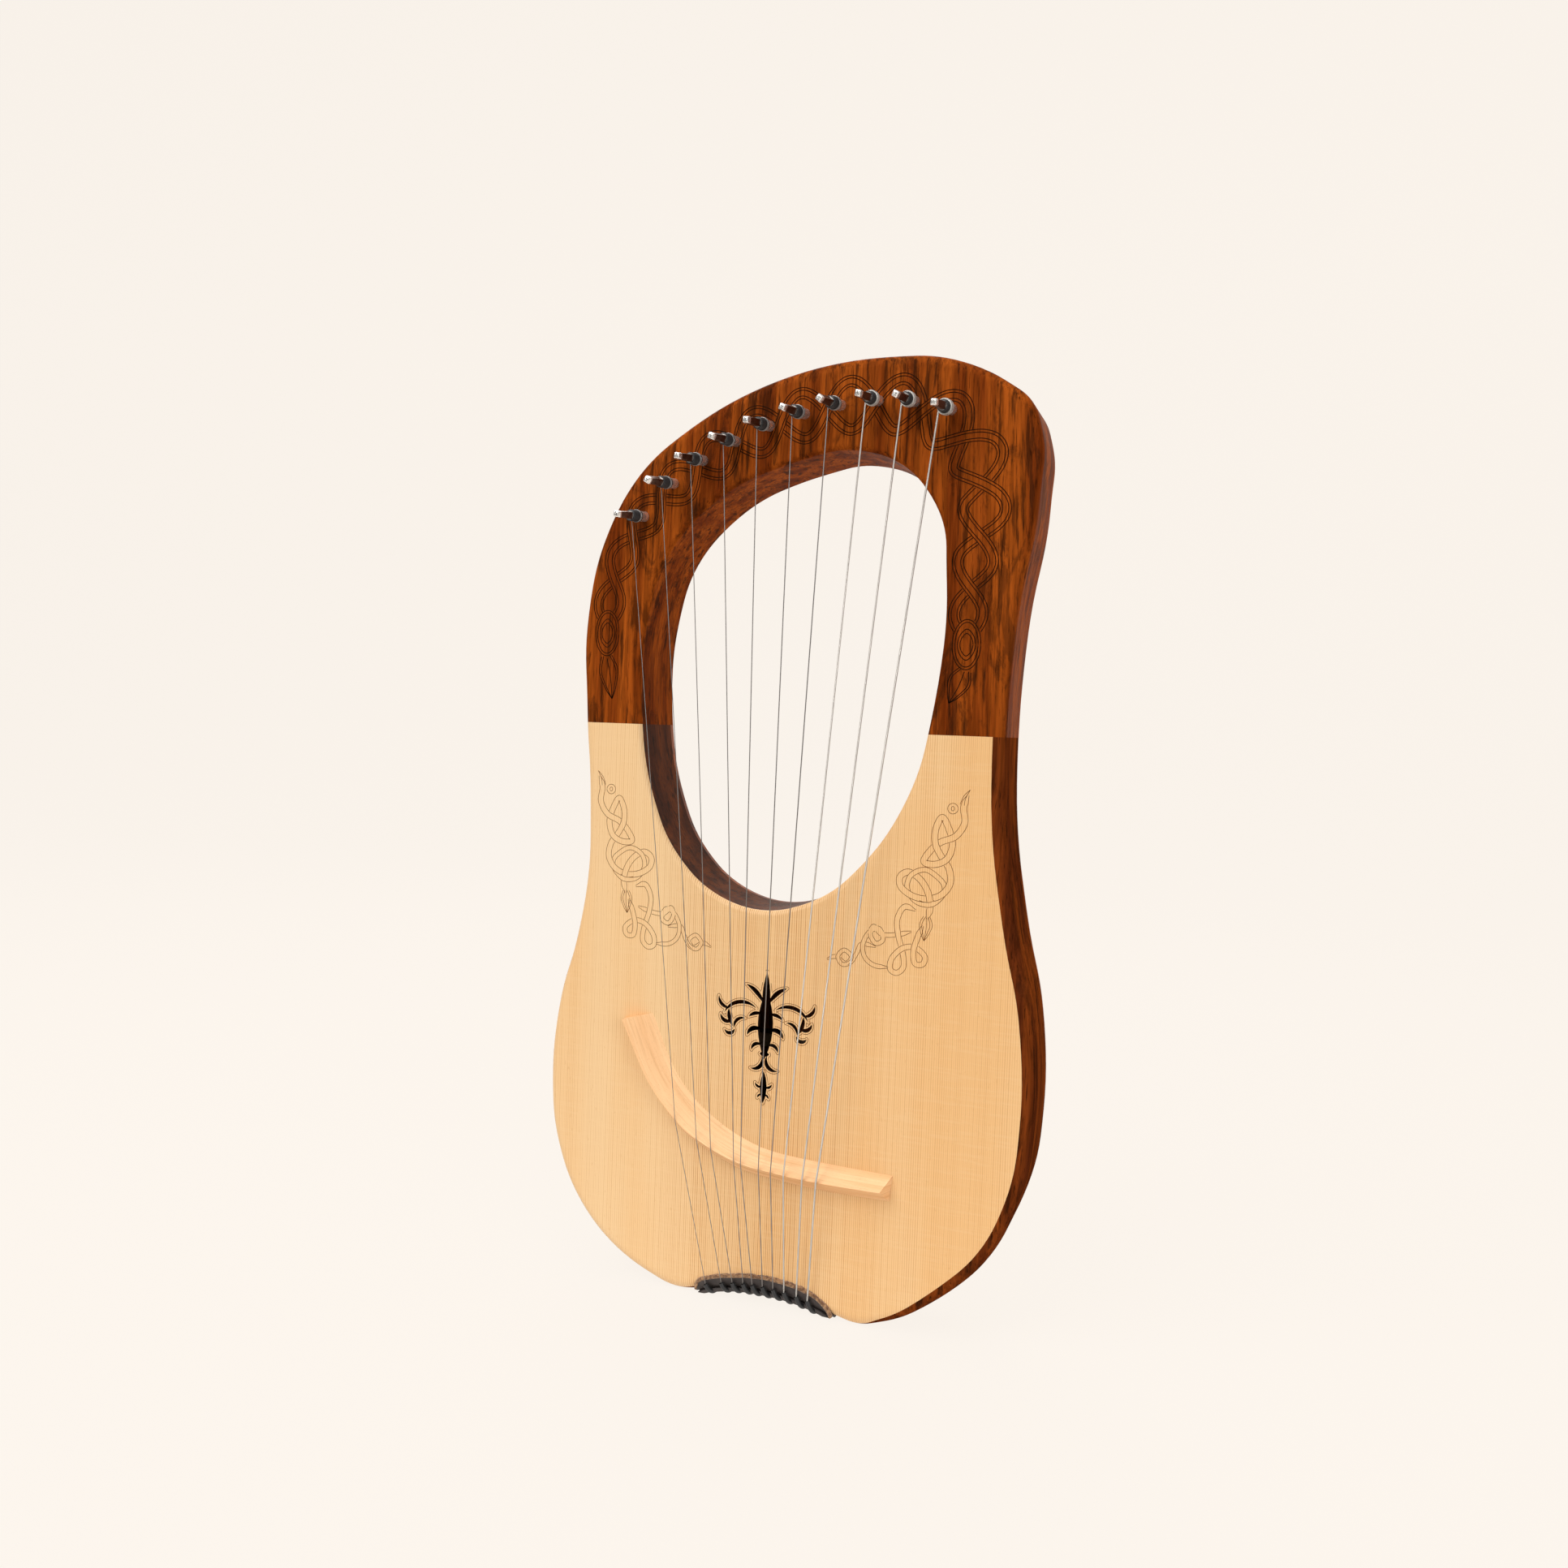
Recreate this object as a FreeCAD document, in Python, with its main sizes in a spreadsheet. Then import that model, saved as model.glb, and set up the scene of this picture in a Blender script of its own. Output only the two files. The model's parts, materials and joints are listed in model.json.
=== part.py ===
import FreeCAD, Part
import math
import os
import Sketcher

from FreeCAD import Placement, Rotation, Vector

# Ten-string lyre: a rosewood yoke and arms above a hollow, spruce-topped body.
# Drawing frame: X to the right, Z up, Y = 0 on the front face and growing to the back.
# Every sub-part's Placement then moves it so that the origin is the middle of the base.

os.makedirs("parts", exist_ok=True)
doc = FreeCAD.newDocument("Lyre")
sheet = doc.addObject("Spreadsheet::Sheet", "Sizes")

SIZES = [
    # overall body
    ("body_width", 298.4), ("body_height", 547.0), ("body_depth", 48.0),
    ("outer_round", 6.5), ("back_round", 5.0), ("hole_round", 3.0),
    # plates and walls
    ("joint_height", 338.5), ("rim_wall", 9.0), ("inner_wall", 6.0),
    ("top_thickness", 3.0), ("back_thickness", 6.0),
    ("border_right", 6.5), ("border_left", 1.0),
    ("lining_width", 5.0), ("lining_depth", 6.0),
    ("brace_width", 8.0), ("brace_depth", 12.0), ("patch_thickness", 2.5),
    ("end_block_height", 34.0), ("end_block_width", 112.0),
    # tuning pins, measured along the pin from the front face
    ("pin_diameter", 6.0), ("pin_reach", 32.0), ("pin_seat", 22.0), ("pin_play", 0.05),
    ("pin_lean_down", 6.5), ("pin_lean_side", 4.5),
    ("head_start", 16.5), ("head_square", 4.2), ("head_taper", 1.2),
    ("band_start", 6.5), ("band_length", 10.0), ("band_wall", 0.7), ("string_leaves", 7.7),
    # strings
    ("treble_gauge", 0.40), ("gauge_step", 0.04), ("bass_gauge", 0.90), ("bass_step", 0.10),
    ("coil_turns", 4), ("moving_gap", 0.40), ("coil_gap", 0.60), ("seat_gap", 0.10),
    # bridge, leather and lower fastening
    ("bridge_ridge", 10.0), ("leather_thickness", 1.5),
    ("sleeve_diameter", 2.8), ("sleeve_bore", 1.7), ("sleeve_drift", 6.0), ("sleeve_rise", 4.0),
    ("hitch_diameter", 2.4), ("hitch_head", 4.2), ("hitch_cap", 1.0), ("hitch_length", 16.0),
    ("hitch_row_front", 17.0), ("hitch_row_back", 23.0), ("leather_reach", 28.0),
]
for row, (alias, value) in enumerate(SIZES, start=1):
    sheet.set("A%d" % row, alias)
    sheet.set("B%d" % row, str(value))
    sheet.setAlias("B%d" % row, alias)
doc.recompute()


def size(alias):
    return float(sheet.get(alias))


# The templates below are drawn for a body 298.4 wide and 547 high and stretch with it.
DRAWN_WIDTH = 298.4
DRAWN_HEIGHT = 547.0
stretch_x = size("body_width") / DRAWN_WIDTH
stretch_z = size("body_height") / DRAWN_HEIGHT


def template(points):
    return [Vector(x * stretch_x, 0, z * stretch_z) for x, z in points]


depth = size("body_depth")
joint_height = size("joint_height") * stretch_z
axis_x = -6.6 * stretch_x        # the strings' and the rose's centre line

lean_down = math.radians(size("pin_lean_down"))
lean_side = math.radians(size("pin_lean_side"))
pin_axis = Vector(-math.sin(lean_side), -1, -math.sin(lean_down))
pin_axis.normalize()
FRONT, BACK = 0.0, depth


# ---------------------------------------------------------------- outlines
# Outer outline, from the notch between the two feet clockwise round the left foot.
BODY_OUTLINE = [
    (-2, 9.4), (-21, 8.2), (-36, 4.8), (-45, 1.7), (-57, 0), (-82, 6.8), (-108, 22),
    (-131, 48), (-145, 82), (-149.2, 122), (-144.5, 169), (-134.5, 206), (-128.4, 243),
    (-128.4, 296), (-132.2, 346), (-133.9, 396), (-124, 447), (-101, 487.5), (-61.3, 517.8),
    (-10, 539.2), (44, 547), (88, 543.2), (116, 530.5), (131, 518.3), (137.6, 500), (137.4, 468),
    (128, 398), (125.1, 340), (127.3, 284), (135, 236), (146, 185), (149.2, 135),
    (144, 89), (128.9, 53), (102, 24), (72, 4.8), (54, 0), (41, 2.2), (31, 5.4), (15, 8.5),
]
# Hand opening between the arms, from its lowest point clockwise.
HOLE_OUTLINE = [
    (-13.4, 233), (-46, 242.5), (-70, 265), (-86.5, 301), (-94.4, 350), (-92.8, 396),
    (-80, 438), (-49, 470.5), (0, 491), (31, 496), (61, 487), (83, 461), (89.2, 420),
    (85, 355), (74.5, 309), (52, 269.5), (22.9, 243),
]


def point_tangents(points):
    """Direction of travel at each point of a closed outline: that of the circle through it
    and its two neighbours."""
    tangents = []
    for before, point, after in zip(points[-1:] + points[:-1], points, points[1:] + points[:1]):
        come, leave = point - before, after - point
        tangents.append((come / come.Length ** 2 + leave / leave.Length ** 2).normalize())
    return tangents


def tangent_arc(start, direction, end):
    """The arc from start to end that leaves in the given direction."""
    chord = end - start
    sideways = direction.cross(Vector(0, 1, 0))
    sag = chord.dot(sideways)
    if abs(sag) < 1e-4 * chord.Length:
        return Part.LineSegment(start, end).toShape()
    radius = chord.dot(chord) / (2 * sag)
    centre = start + sideways * radius
    middle = (start + end) / 2 - centre
    return Part.Arc(start, centre + middle.normalize() * abs(radius), end).toShape()


def arc_outline(points):
    """Closed outline through the points, two tangent arcs from each point to the next."""
    tangents = point_tangents(points)
    edges = []
    for index, start in enumerate(points):
        end = points[(index + 1) % len(points)]
        leave, arrive = tangents[index], tangents[(index + 1) % len(points)]
        chord, both = end - start, leave + arrive
        turn = 2 * (1 - leave.dot(arrive))
        if turn < 1e-9:
            reach = chord.dot(chord) / (4 * chord.dot(arrive))
        else:
            reach = (math.sqrt(chord.dot(both) ** 2 + turn * chord.dot(chord)) - chord.dot(both)) / turn
        joint = (start + leave * reach + end - arrive * reach) / 2
        edges.append(tangent_arc(start, leave, joint))
        edges.append(tangent_arc(end, arrive * -1, joint))
    return Part.Wire(Part.__sortEdges__(edges))


body_points = template(BODY_OUTLINE)
hole_points = template(HOLE_OUTLINE)
body_wire = arc_outline(body_points)
hole_wire = arc_outline(hole_points)


def slab(wire, front, back):
    face = Part.Face(wire)
    face.translate(Vector(0, front, 0))
    return face.extrude(Vector(0, back - front, 0))


# mm tried in turn, because an offset of many arcs can fail at one exact amount
OFFSET_NUDGES = (0.0, 0.004, -0.004, 0.015, -0.015, 0.04)


def inset(wire, amount):
    """The wire moved inwards by amount, or outwards when it is negative."""
    for nudge in OFFSET_NUDGES:
        try:
            return wire.makeOffset2D(-amount - nudge, 0, False, False, True)
        except ValueError:
            continue
    raise ValueError("the outline could not be moved by %.3f mm" % amount)


def offset_wire(wire, amount):
    moved = inset(wire, amount)
    return moved.Wires[0] if moved.ShapeType != "Wire" else moved


def block(x_range, y_range, z_range):
    return Part.makeBox(x_range[1] - x_range[0], y_range[1] - y_range[0], z_range[1] - z_range[0],
                        Vector(x_range[0], y_range[0], z_range[0]))


# ---------------------------------------------------------------- blank
# Yoke, arms and body are first one blank: outline less hand opening, all edges rounded.
def flat_edges(solid, y_place):
    return [edge for edge in solid.Edges
            if abs(edge.BoundBox.YMin - y_place) < 1e-6 and abs(edge.BoundBox.YMax - y_place) < 1e-6]


def frame_blank():
    blank = slab(body_wire, FRONT, BACK)
    blank = blank.makeFillet(size("outer_round"), flat_edges(blank, FRONT))
    blank = blank.makeFillet(size("back_round"), flat_edges(blank, BACK))
    outside = blank
    blank = blank.cut(slab(hole_wire, FRONT, BACK))
    hole_box = hole_wire.BoundBox
    rim = [edge for edge in flat_edges(blank, FRONT) + flat_edges(blank, BACK)
           if edge.BoundBox.XMax < hole_box.XMax + 1 and edge.BoundBox.XMin > hole_box.XMin - 1]
    return outside, blank.makeFillet(size("hole_round"), rim)


outside, blank = frame_blank()

# Cutting boxes reach past the whole body.
PAST = 20.0
LEFT = -size("body_width") / 2 - PAST
RIGHT = size("body_width") / 2 + PAST
FLOOR = -PAST
CEILING = size("body_height") + PAST

top_back = size("top_thickness")
back_front = depth - size("back_thickness")
lower_half = block((LEFT, RIGHT), (-PAST, depth + PAST), (FLOOR, joint_height))
upper_half = block((LEFT, RIGHT), (-PAST, depth + PAST), (joint_height, CEILING))


# The soundboard covers the rounded edge at the left and below, and stops short at the right,
# where the rosewood rim shows as a border.
def board_wire():
    points = []
    for point, tangent in zip(body_points, point_tangents(body_points)):
        outward = Vector(-tangent.z, 0, tangent.x)
        rightness = min(max(outward.x / 0.75, 0.0), 1.0)
        blend = rightness * rightness * (3 - 2 * rightness)
        border = size("border_left") + (size("border_right") - size("border_left")) * blend
        points.append(point - outward * border)
    return arc_outline(points)


board_room = slab(board_wire(), FRONT - 1, top_back).common(lower_half)

body_inside = offset_wire(body_wire, size("rim_wall"))
hole_outside = offset_wire(hole_wire, -size("inner_wall"))
cavity = slab(body_inside, top_back, back_front).cut(slab(hole_outside, top_back, back_front))
cavity = cavity.common(lower_half)

features = {}


def add_feature(name, shape):
    """Add a sub-part whose shape follows the free-form templates."""
    if shape.ShapeType == "Compound" and len(shape.Solids) == 1:
        shape = shape.Solids[0]
    item = doc.addObject("Part::Feature", name)
    item.Label = name
    item.Shape = shape
    features[name] = item
    return item


# ---------------------------------------------------------------- rose
# Openings sawn through the soundboard. Each leaf is a space between two arcs that meet in
# its two tips: (tip, other tip, rise of one arc, rise of the other) from the rose's centre.
ROSE_HEIGHT = 172.0
CENTRE_LEAVES = [((0, 26), (0, -6), 2.5, -2.5), ((0, 15), (0, -25.5), 4.7, -4.7),
                 ((-3.0, -22.4), (3.0, -22.4), 1.6, -1.6), ((0, -32.5), (0, -51.5), 2.1, -2.1)]
SIDE_LEAVES = [
    # horn, arch of the wing and its raised tip
    ((1.6, 7.0), (12.7, 17.4), 2.9, 0.2), ((5.9, 3.8), (26.2, -0.9), 6.2, 3.9),
    ((22.4, 2.4), (29.8, 9.0), -3.4, -1.3),
    # curls that hang from the wing
    ((23.2, 2.2), (20.4, -8.4), 2.2, -0.2), ((20.6, -4.6), (28.4, -1.6), -3.8, -1.5),
    ((19.2, -9.6), (25.6, -10.6), -3.6, -1.4), ((19.6, -9.4), (12.6, -2.8), -3.5, -1.6),
    # teeth of the stem
    ((2.0, 0.8), (10.6, -1.6), 2.4, 0.3), ((2.0, -9.0), (11.2, -12.4), 4.2, 1.4),
    ((1.5, -17.6), (8.2, -20.8), 3.4, 1.3),
    # scroll at the foot, and the drop's two hooks
    ((1.8, -23.2), (8.6, -31.4), -4.9, -2.5), ((0.6, -41.6), (5.2, -39.6), -2.0, -0.5),
    ((0.6, -46.2), (3.6, -48.6), 1.3, 0.1),
]


def rose_point(place, mirror):
    return Vector(axis_x + mirror * place[0] * stretch_x, 0, (ROSE_HEIGHT + place[1]) * stretch_z)


def rose_leaf(tip, other, rises, mirror):
    start, end = rose_point(tip, mirror), rose_point(other, mirror)
    chord = end - start
    sideways = Vector(-chord.z, 0, chord.x).normalize() * mirror
    arcs = [Part.Arc(start, (start + end) / 2 + sideways * rise, end).toShape() for rise in rises]
    return slab(Part.Wire(arcs), FRONT - 1, top_back + 1)


rose_cutters = [rose_leaf(tip, other, (rise, fall), 1) for tip, other, rise, fall in CENTRE_LEAVES]
for tip, other, rise, fall in SIDE_LEAVES:
    rose_cutters.append(rose_leaf(tip, other, (rise, fall), 1))
    rose_cutters.append(rose_leaf(tip, other, (rise, fall), -1))

# ---------------------------------------------------------------- fixings below
# Height of the wood's lower edge at a place across, read off the outline.
notch_points = [point for point in body_wire.discretize(1500) if point.z < size("body_height") / 8]


def edge_height(x):
    near = sorted(notch_points, key=lambda point: abs(point.x - x))[:2]
    return sum(point.z for point in near) / 2


BRIDGE_CROSSINGS = [(-57.4, 105.7), (-43.3, 96.5), (-34.1, 92.1), (-19.4, 87.3), (-15.0, 86.4),
                    (-3.9, 84.9), (3.6, 84.3), (11.6, 83.7), (22.9, 83.1), (31.2, 82.8)]
SLEEVE_PLACES = [-37.6, -27.6, -20.6, -13.8, -8.0, -1.6, 5.0, 11.8, 19.4, 26.2]
PIN_PLACES = [(-94.9, 461.6), (-76.2, 480.4), (-57.8, 493.1), (-37.5, 503.2), (-16.9, 511.0),
              (4.1, 516.8), (25.3, 520.4), (47.0, 521.8), (67.6, 520.2), (88.4, 514.9)]
STRINGS = len(PIN_PLACES)
PLAIN_STRINGS = 7

crossings = template(BRIDGE_CROSSINGS)
pin_places = template(PIN_PLACES)
sleeve_out = size("leather_thickness") + size("seat_gap") + size("sleeve_diameter") / 2


def gauge(number):
    """Diameter of string number 0 to 9: plain strings first, then the wound basses."""
    if number < PLAIN_STRINGS:
        return size("treble_gauge") + size("gauge_step") * number
    return size("bass_gauge") + size("bass_step") * (number - PLAIN_STRINGS)


def hitch_place(number):
    x = SLEEVE_PLACES[number] * stretch_x + size("sleeve_drift")
    y = size("hitch_row_front") if number % 2 == 0 else size("hitch_row_back")
    return Vector(x, y, edge_height(x))


def hitch_pin(number):
    """A nail up into the end block, its cap clear of the leather."""
    place = hitch_place(number)
    cap_bottom = place.z - size("leather_thickness") - size("seat_gap") - size("hitch_cap")
    cap_centre = Vector(place.x, place.y, cap_bottom)
    shank = Part.makeCylinder(size("hitch_diameter") / 2, place.z + size("hitch_length") - cap_bottom,
                              cap_centre)
    head = Part.makeCylinder(size("hitch_head") / 2, size("hitch_cap"), cap_centre)
    return shank.fuse(head).removeSplitter()


hitch_pins = [hitch_pin(number) for number in range(STRINGS)]

# ---------------------------------------------------------------- wooden parts
HOLE_START = 5.0        # the drill starts this far outside the leaning face
HOLE_SPARE = 0.2        # the hole is this much deeper than the pin
pin_holes = []
for place in pin_places:
    pin_holes.append(Part.makeCylinder(size("pin_diameter") / 2 + size("pin_play"),
                                       HOLE_START + size("pin_seat") + HOLE_SPARE,
                                       place + pin_axis * HOLE_START, pin_axis * -1))
add_feature("yoke", blank.common(upper_half).cut(pin_holes))

soundboard = blank.common(board_room).cut(rose_cutters)
if len(soundboard.Solids) != 1:
    raise RuntimeError("the rose cuts the soundboard into %d pieces" % len(soundboard.Solids))
add_feature("soundboard", soundboard)

before_back = block((LEFT, RIGHT), (-PAST, back_front), (FLOOR, joint_height))
behind_front = block((LEFT, RIGHT), (back_front, depth + PAST), (FLOOR, joint_height))
add_feature("back_plate", blank.common(behind_front))

walls = blank.common(before_back).cut([board_room, cavity])
outer_walls = [piece for piece in walls.Solids if piece.BoundBox.ZMin < size("rim_wall")]
inner_walls = [piece for piece in walls.Solids if piece.BoundBox.ZMin >= size("rim_wall")]
if len(outer_walls) != 1 or len(inner_walls) != 1:
    raise RuntimeError("walls came out as %d and %d pieces" % (len(outer_walls), len(inner_walls)))
seam_x = body_points[0].x
left_half = block((LEFT, seam_x), (-PAST, depth + PAST), (FLOOR, CEILING))
right_half = block((seam_x, RIGHT), (-PAST, depth + PAST), (FLOOR, CEILING))
add_feature("rim_left", outer_walls[0].common(left_half).cut(hitch_pins))
add_feature("rim_right", outer_walls[0].common(right_half).cut(hitch_pins))
add_feature("inner_rim", inner_walls[0])

block_half = size("end_block_width") / 2
end_room = block((seam_x - block_half, seam_x + block_half), (top_back, back_front),
                 (FLOOR, size("end_block_height")))
add_feature("end_block", cavity.common(end_room).cut(hitch_pins))

# Glued strips that widen the joint between the walls and the two plates.
lining = size("lining_width")
outer_strip = slab(body_inside, top_back, back_front).cut(
    slab(offset_wire(body_wire, size("rim_wall") + lining), top_back, back_front))
inner_strip = slab(offset_wire(hole_wire, -size("inner_wall") - lining), top_back, back_front).cut(
    slab(hole_outside, top_back, back_front))
strip_front = block((LEFT, RIGHT), (top_back, top_back + size("lining_depth")), (FLOOR, joint_height))
strip_back = block((LEFT, RIGHT), (back_front - size("lining_depth"), back_front), (FLOOR, joint_height))
linings = {}
for name, strip, side in (("lining_outer_front", outer_strip, strip_front),
                          ("lining_outer_back", outer_strip, strip_back),
                          ("lining_inner_front", inner_strip, strip_front),
                          ("lining_inner_back", inner_strip, strip_back)):
    linings[name] = strip.common(side).common(cavity).cut(end_room)
    add_feature(name, linings[name])


UPPER_BRACE, LOWER_BRACE, BACK_BRACE = 213.0, 58.0, 150.0
PATCH_CORNERS = [(-66, 74), (44, 112)]


def brace(height, y_range):
    """A bar across the cavity, fitted between the linings."""
    middle, half = height * stretch_z, size("brace_width") / 2
    bar = block((LEFT, RIGHT), y_range, (middle - half, middle + half))
    bar = bar.common(cavity).cut(list(linings.values()) + [end_room])
    return max(bar.Solids, key=lambda solid: solid.Volume)


front_bars = (top_back, top_back + size("brace_depth"))
back_bars = (back_front - size("brace_depth"), back_front)
add_feature("brace_upper", brace(UPPER_BRACE, front_bars))
add_feature("brace_lower", brace(LOWER_BRACE, front_bars))
add_feature("brace_back", brace(BACK_BRACE, back_bars))

# Thin plate glued behind the soundboard under the bridge.
patch_low, patch_high = template(PATCH_CORNERS)
add_feature("bridge_patch", block((patch_low.x, patch_high.x),
                                  (top_back, top_back + size("patch_thickness")),
                                  (patch_low.z, patch_high.z)))

# ---------------------------------------------------------------- bridge
# A curved beech bar of three-cornered section, highest along its ridge.
BRIDGE_UPPER = [(-79, 165.5), (-64.5, 135), (-48.5, 116.5), (-31, 104.4), (-14, 97), (2, 93.2),
                (24, 91.8), (48, 91), (73, 90.5)]
BRIDGE_RIDGE = [(-94.9, 161.8), (-76.6, 127), (-57.4, 105.7), (-43.3, 96.5), (-19.4, 87.3),
                (3.6, 84.3), (31.2, 82.8), (68.2, 83)]
BRIDGE_LOWER = [(-97.6, 160.6), (-80.5, 124.5), (-61.8, 101.6), (-47.5, 91.6), (-21.5, 80.5),
                (3, 77), (31, 75.4), (71.3, 75.5)]


def open_curve(points, y_place):
    curve = Part.BSplineCurve()
    curve.interpolate(Points=[point + Vector(0, y_place, 0) for point in template(points)])
    return curve.toShape()


def bridge_solid():
    upper = open_curve(BRIDGE_UPPER, FRONT)
    ridge = open_curve(BRIDGE_RIDGE, FRONT - size("bridge_ridge"))
    lower = open_curve(BRIDGE_LOWER, FRONT)
    sides = [Part.makeRuledSurface(upper, ridge), Part.makeRuledSurface(ridge, lower),
             Part.makeRuledSurface(lower, upper)]
    for end in (0, -1):
        corners = [edge.Vertexes[end].Point for edge in (upper, ridge, lower)]
        sides.append(Part.Face(Part.makePolygon(corners + corners[:1])))
    shell = Part.makeShell(sides)
    shell.sewShape()
    solid = Part.makeSolid(shell)
    if solid.Volume < 0:
        solid.reverse()
    return solid


add_feature("bridge", bridge_solid())

# ---------------------------------------------------------------- sleeves
def rounded_path(points, radii):
    """Straight runs joined by tangent arcs, one radius for each inner point."""
    edges = []
    last = points[0]
    for before, corner, after, radius in zip(points, points[1:], points[2:], radii):
        back = (before - corner).normalize()
        ahead = (after - corner).normalize()
        half = back.getAngle(ahead) / 2
        run = radius / math.tan(half)
        middle = (back + ahead).normalize()
        centre = corner + middle * (radius / math.sin(half))
        start, end = corner + back * run, corner + ahead * run
        edges.append(Part.LineSegment(last, start).toShape())
        edges.append(Part.Arc(start, centre - middle * radius, end).toShape())
        last = end
    edges.append(Part.LineSegment(last, points[-1]).toShape())
    return Part.Wire(edges)


def tube(path, diameter):
    start = path.OrderedEdges[0]
    direction = start.tangentAt(start.FirstParameter)
    ring = Part.Wire([Part.Circle(path.OrderedVertexes[0].Point, direction, diameter / 2).toShape()])
    return path.makePipeShell([ring], True, False)


SLEEVE_BEND = 6.4
MOUTH_TUCK, CORNER_TUCK = 0.2, 0.8      # how far each point is drawn in towards the leather
CORNER_DRIFT, END_DRIFT = 0.45, 0.88    # share of the sleeve's sideways drift at each point
BEND_SHARE = 0.95


def sleeve_points(number):
    """Mouth, corner under the front edge, and end of a sleeve; all on its centre line."""
    drift = size("sleeve_drift")
    mouth_x = SLEEVE_PLACES[number] * stretch_x
    corner_x = mouth_x + drift * CORNER_DRIFT
    mouth = Vector(mouth_x, FRONT - sleeve_out + MOUTH_TUCK, edge_height(mouth_x) + size("sleeve_rise"))
    corner = Vector(corner_x, FRONT - sleeve_out + CORNER_TUCK,
                    edge_height(corner_x) - sleeve_out + CORNER_TUCK)
    end = Vector(mouth_x + drift * END_DRIFT, size("hitch_row_front") - size("hitch_head"),
                 edge_height(mouth_x + drift) - sleeve_out)
    return mouth, corner, end


def bend_limit(before, corner, after):
    """Largest radius whose arc still fits between the neighbouring points."""
    run = min(before.distanceToPoint(corner), after.distanceToPoint(corner)) * BEND_SHARE
    return run * math.tan((before - corner).getAngle(after - corner) / 2)


sleeve_rods = []
sleeves = []
for number in range(STRINGS):
    mouth, corner, end = sleeve_points(number)
    bend = min(SLEEVE_BEND, bend_limit(mouth, corner, end))
    path = rounded_path([mouth, corner, end], [bend])
    sleeve_rods.append(tube(path, size("sleeve_diameter")))
    sleeves.append(sleeve_rods[-1].cut(tube(path, size("sleeve_bore"))))
add_feature("edge_sleeves", Part.Compound(sleeves))

# ---------------------------------------------------------------- leather
# Leather wraps the notch: on the front it ends in a low arch, below it runs back under the body.
# The sleeves have pressed shallow grooves into it.
LEATHER_ARCH = [(-46, -9), (-45.4, 4.5), (-43, 9.4), (-33, 13.4), (-22, 15.9), (-7, 18.2), (4, 18.4),
                (17, 17), (28, 14.2), (36, 9.2), (40.6, 3.2), (42.5, -9)]


def leather_patch():
    thick = size("leather_thickness")
    grown = slab(offset_wire(body_wire, -thick), FRONT - thick, BACK)
    grown = grown.makeFillet(size("outer_round") + thick, flat_edges(grown, FRONT - thick))
    arch = template(LEATHER_ARCH)
    cutter = Part.Face(Part.makePolygon(arch + arch[:1]))
    cutter.translate(Vector(0, -PAST, 0))
    cutter = cutter.extrude(Vector(0, PAST + size("leather_reach"), 0))
    return grown.common(cutter).cut(outside).cut(hitch_pins + sleeve_rods)


add_feature("leather_patch", leather_patch())
add_feature("hitch_pins", Part.Compound(hitch_pins))

# ---------------------------------------------------------------- strings
# Each string runs from beside its coil over the bridge ridge, into its sleeve, round the
# leather and back to its hitch pin.
RIDGE_BEND, MOUTH_BEND = 3.0, 1.0
BEND_MARGIN = 0.96
band_radius = size("pin_diameter") / 2 + size("band_wall")
pin_left = pin_axis.cross(Vector(0, 0, 1)).normalize()
if pin_left.x > 0:
    pin_left = pin_left * -1


def string_points(number):
    thick = gauge(number)
    out = band_radius + size("moving_gap") + thick / 2
    top = pin_places[number] + pin_axis * size("string_leaves") + pin_left * out
    ridge = crossings[number] + Vector(0, FRONT - size("bridge_ridge") - size("seat_gap") - thick / 2, 0)
    mouth, corner, end = sleeve_points(number)
    return top, ridge, mouth, corner, end


for number in range(STRINGS):
    top, ridge, mouth, corner, end = string_points(number)
    bend = min(SLEEVE_BEND, bend_limit(mouth, corner, end) * BEND_MARGIN)
    path = rounded_path([top, ridge, mouth, corner, end], [RIDGE_BEND, MOUTH_BEND, bend])
    string = tube(path, gauge(number))
    expected = math.pi * gauge(number) ** 2 / 4 * path.Length
    print("string %d: length %.1f, volume %.2f, expected %.2f" % (number + 1, path.Length,
                                                                  string.Volume, expected))
    add_feature("string_%d" % (number + 1), string)

# ---------------------------------------------------------------- tuning pins
# Pin frame: +Z along the pin, out of the face, zero at the face. Head turns differ pin by pin.
HEAD_TURNS = [12, 34, 8, 20, 3, 26, 41, 15, 30, 5]


def base_plane(body, role):
    return [plane for plane in body.Origin.OriginFeatures if plane.Role == role][0]


def new_sketch(body, name, height):
    sketch = body.newObject("Sketcher::SketchObject", name)
    sketch.AttachmentSupport = [(base_plane(body, "XY_Plane"), "")]
    sketch.MapMode = "FlatFace"
    sketch.setExpression(".AttachmentOffset.Base.z", height)
    return sketch


def new_pad(body, sketch, name, length):
    pad = body.newObject("PartDesign::Pad", name)
    pad.Profile = sketch
    pad.setExpression("Length", length)
    sketch.Visibility = False
    return pad


def circle_sketch(body, name, height, diameter):
    sketch = new_sketch(body, name, height)
    sketch.addGeometry(Part.Circle(Vector(0, 0, 0), Vector(0, 0, 1), size("pin_diameter") / 2))
    sketch.addConstraint(Sketcher.Constraint("Coincident", 0, 3, -1, 1))
    sketch.addConstraint(Sketcher.Constraint("Diameter", 0, size("pin_diameter")))
    sketch.renameConstraint(1, "across")
    sketch.setExpression("Constraints.across", diameter)
    return sketch


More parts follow.
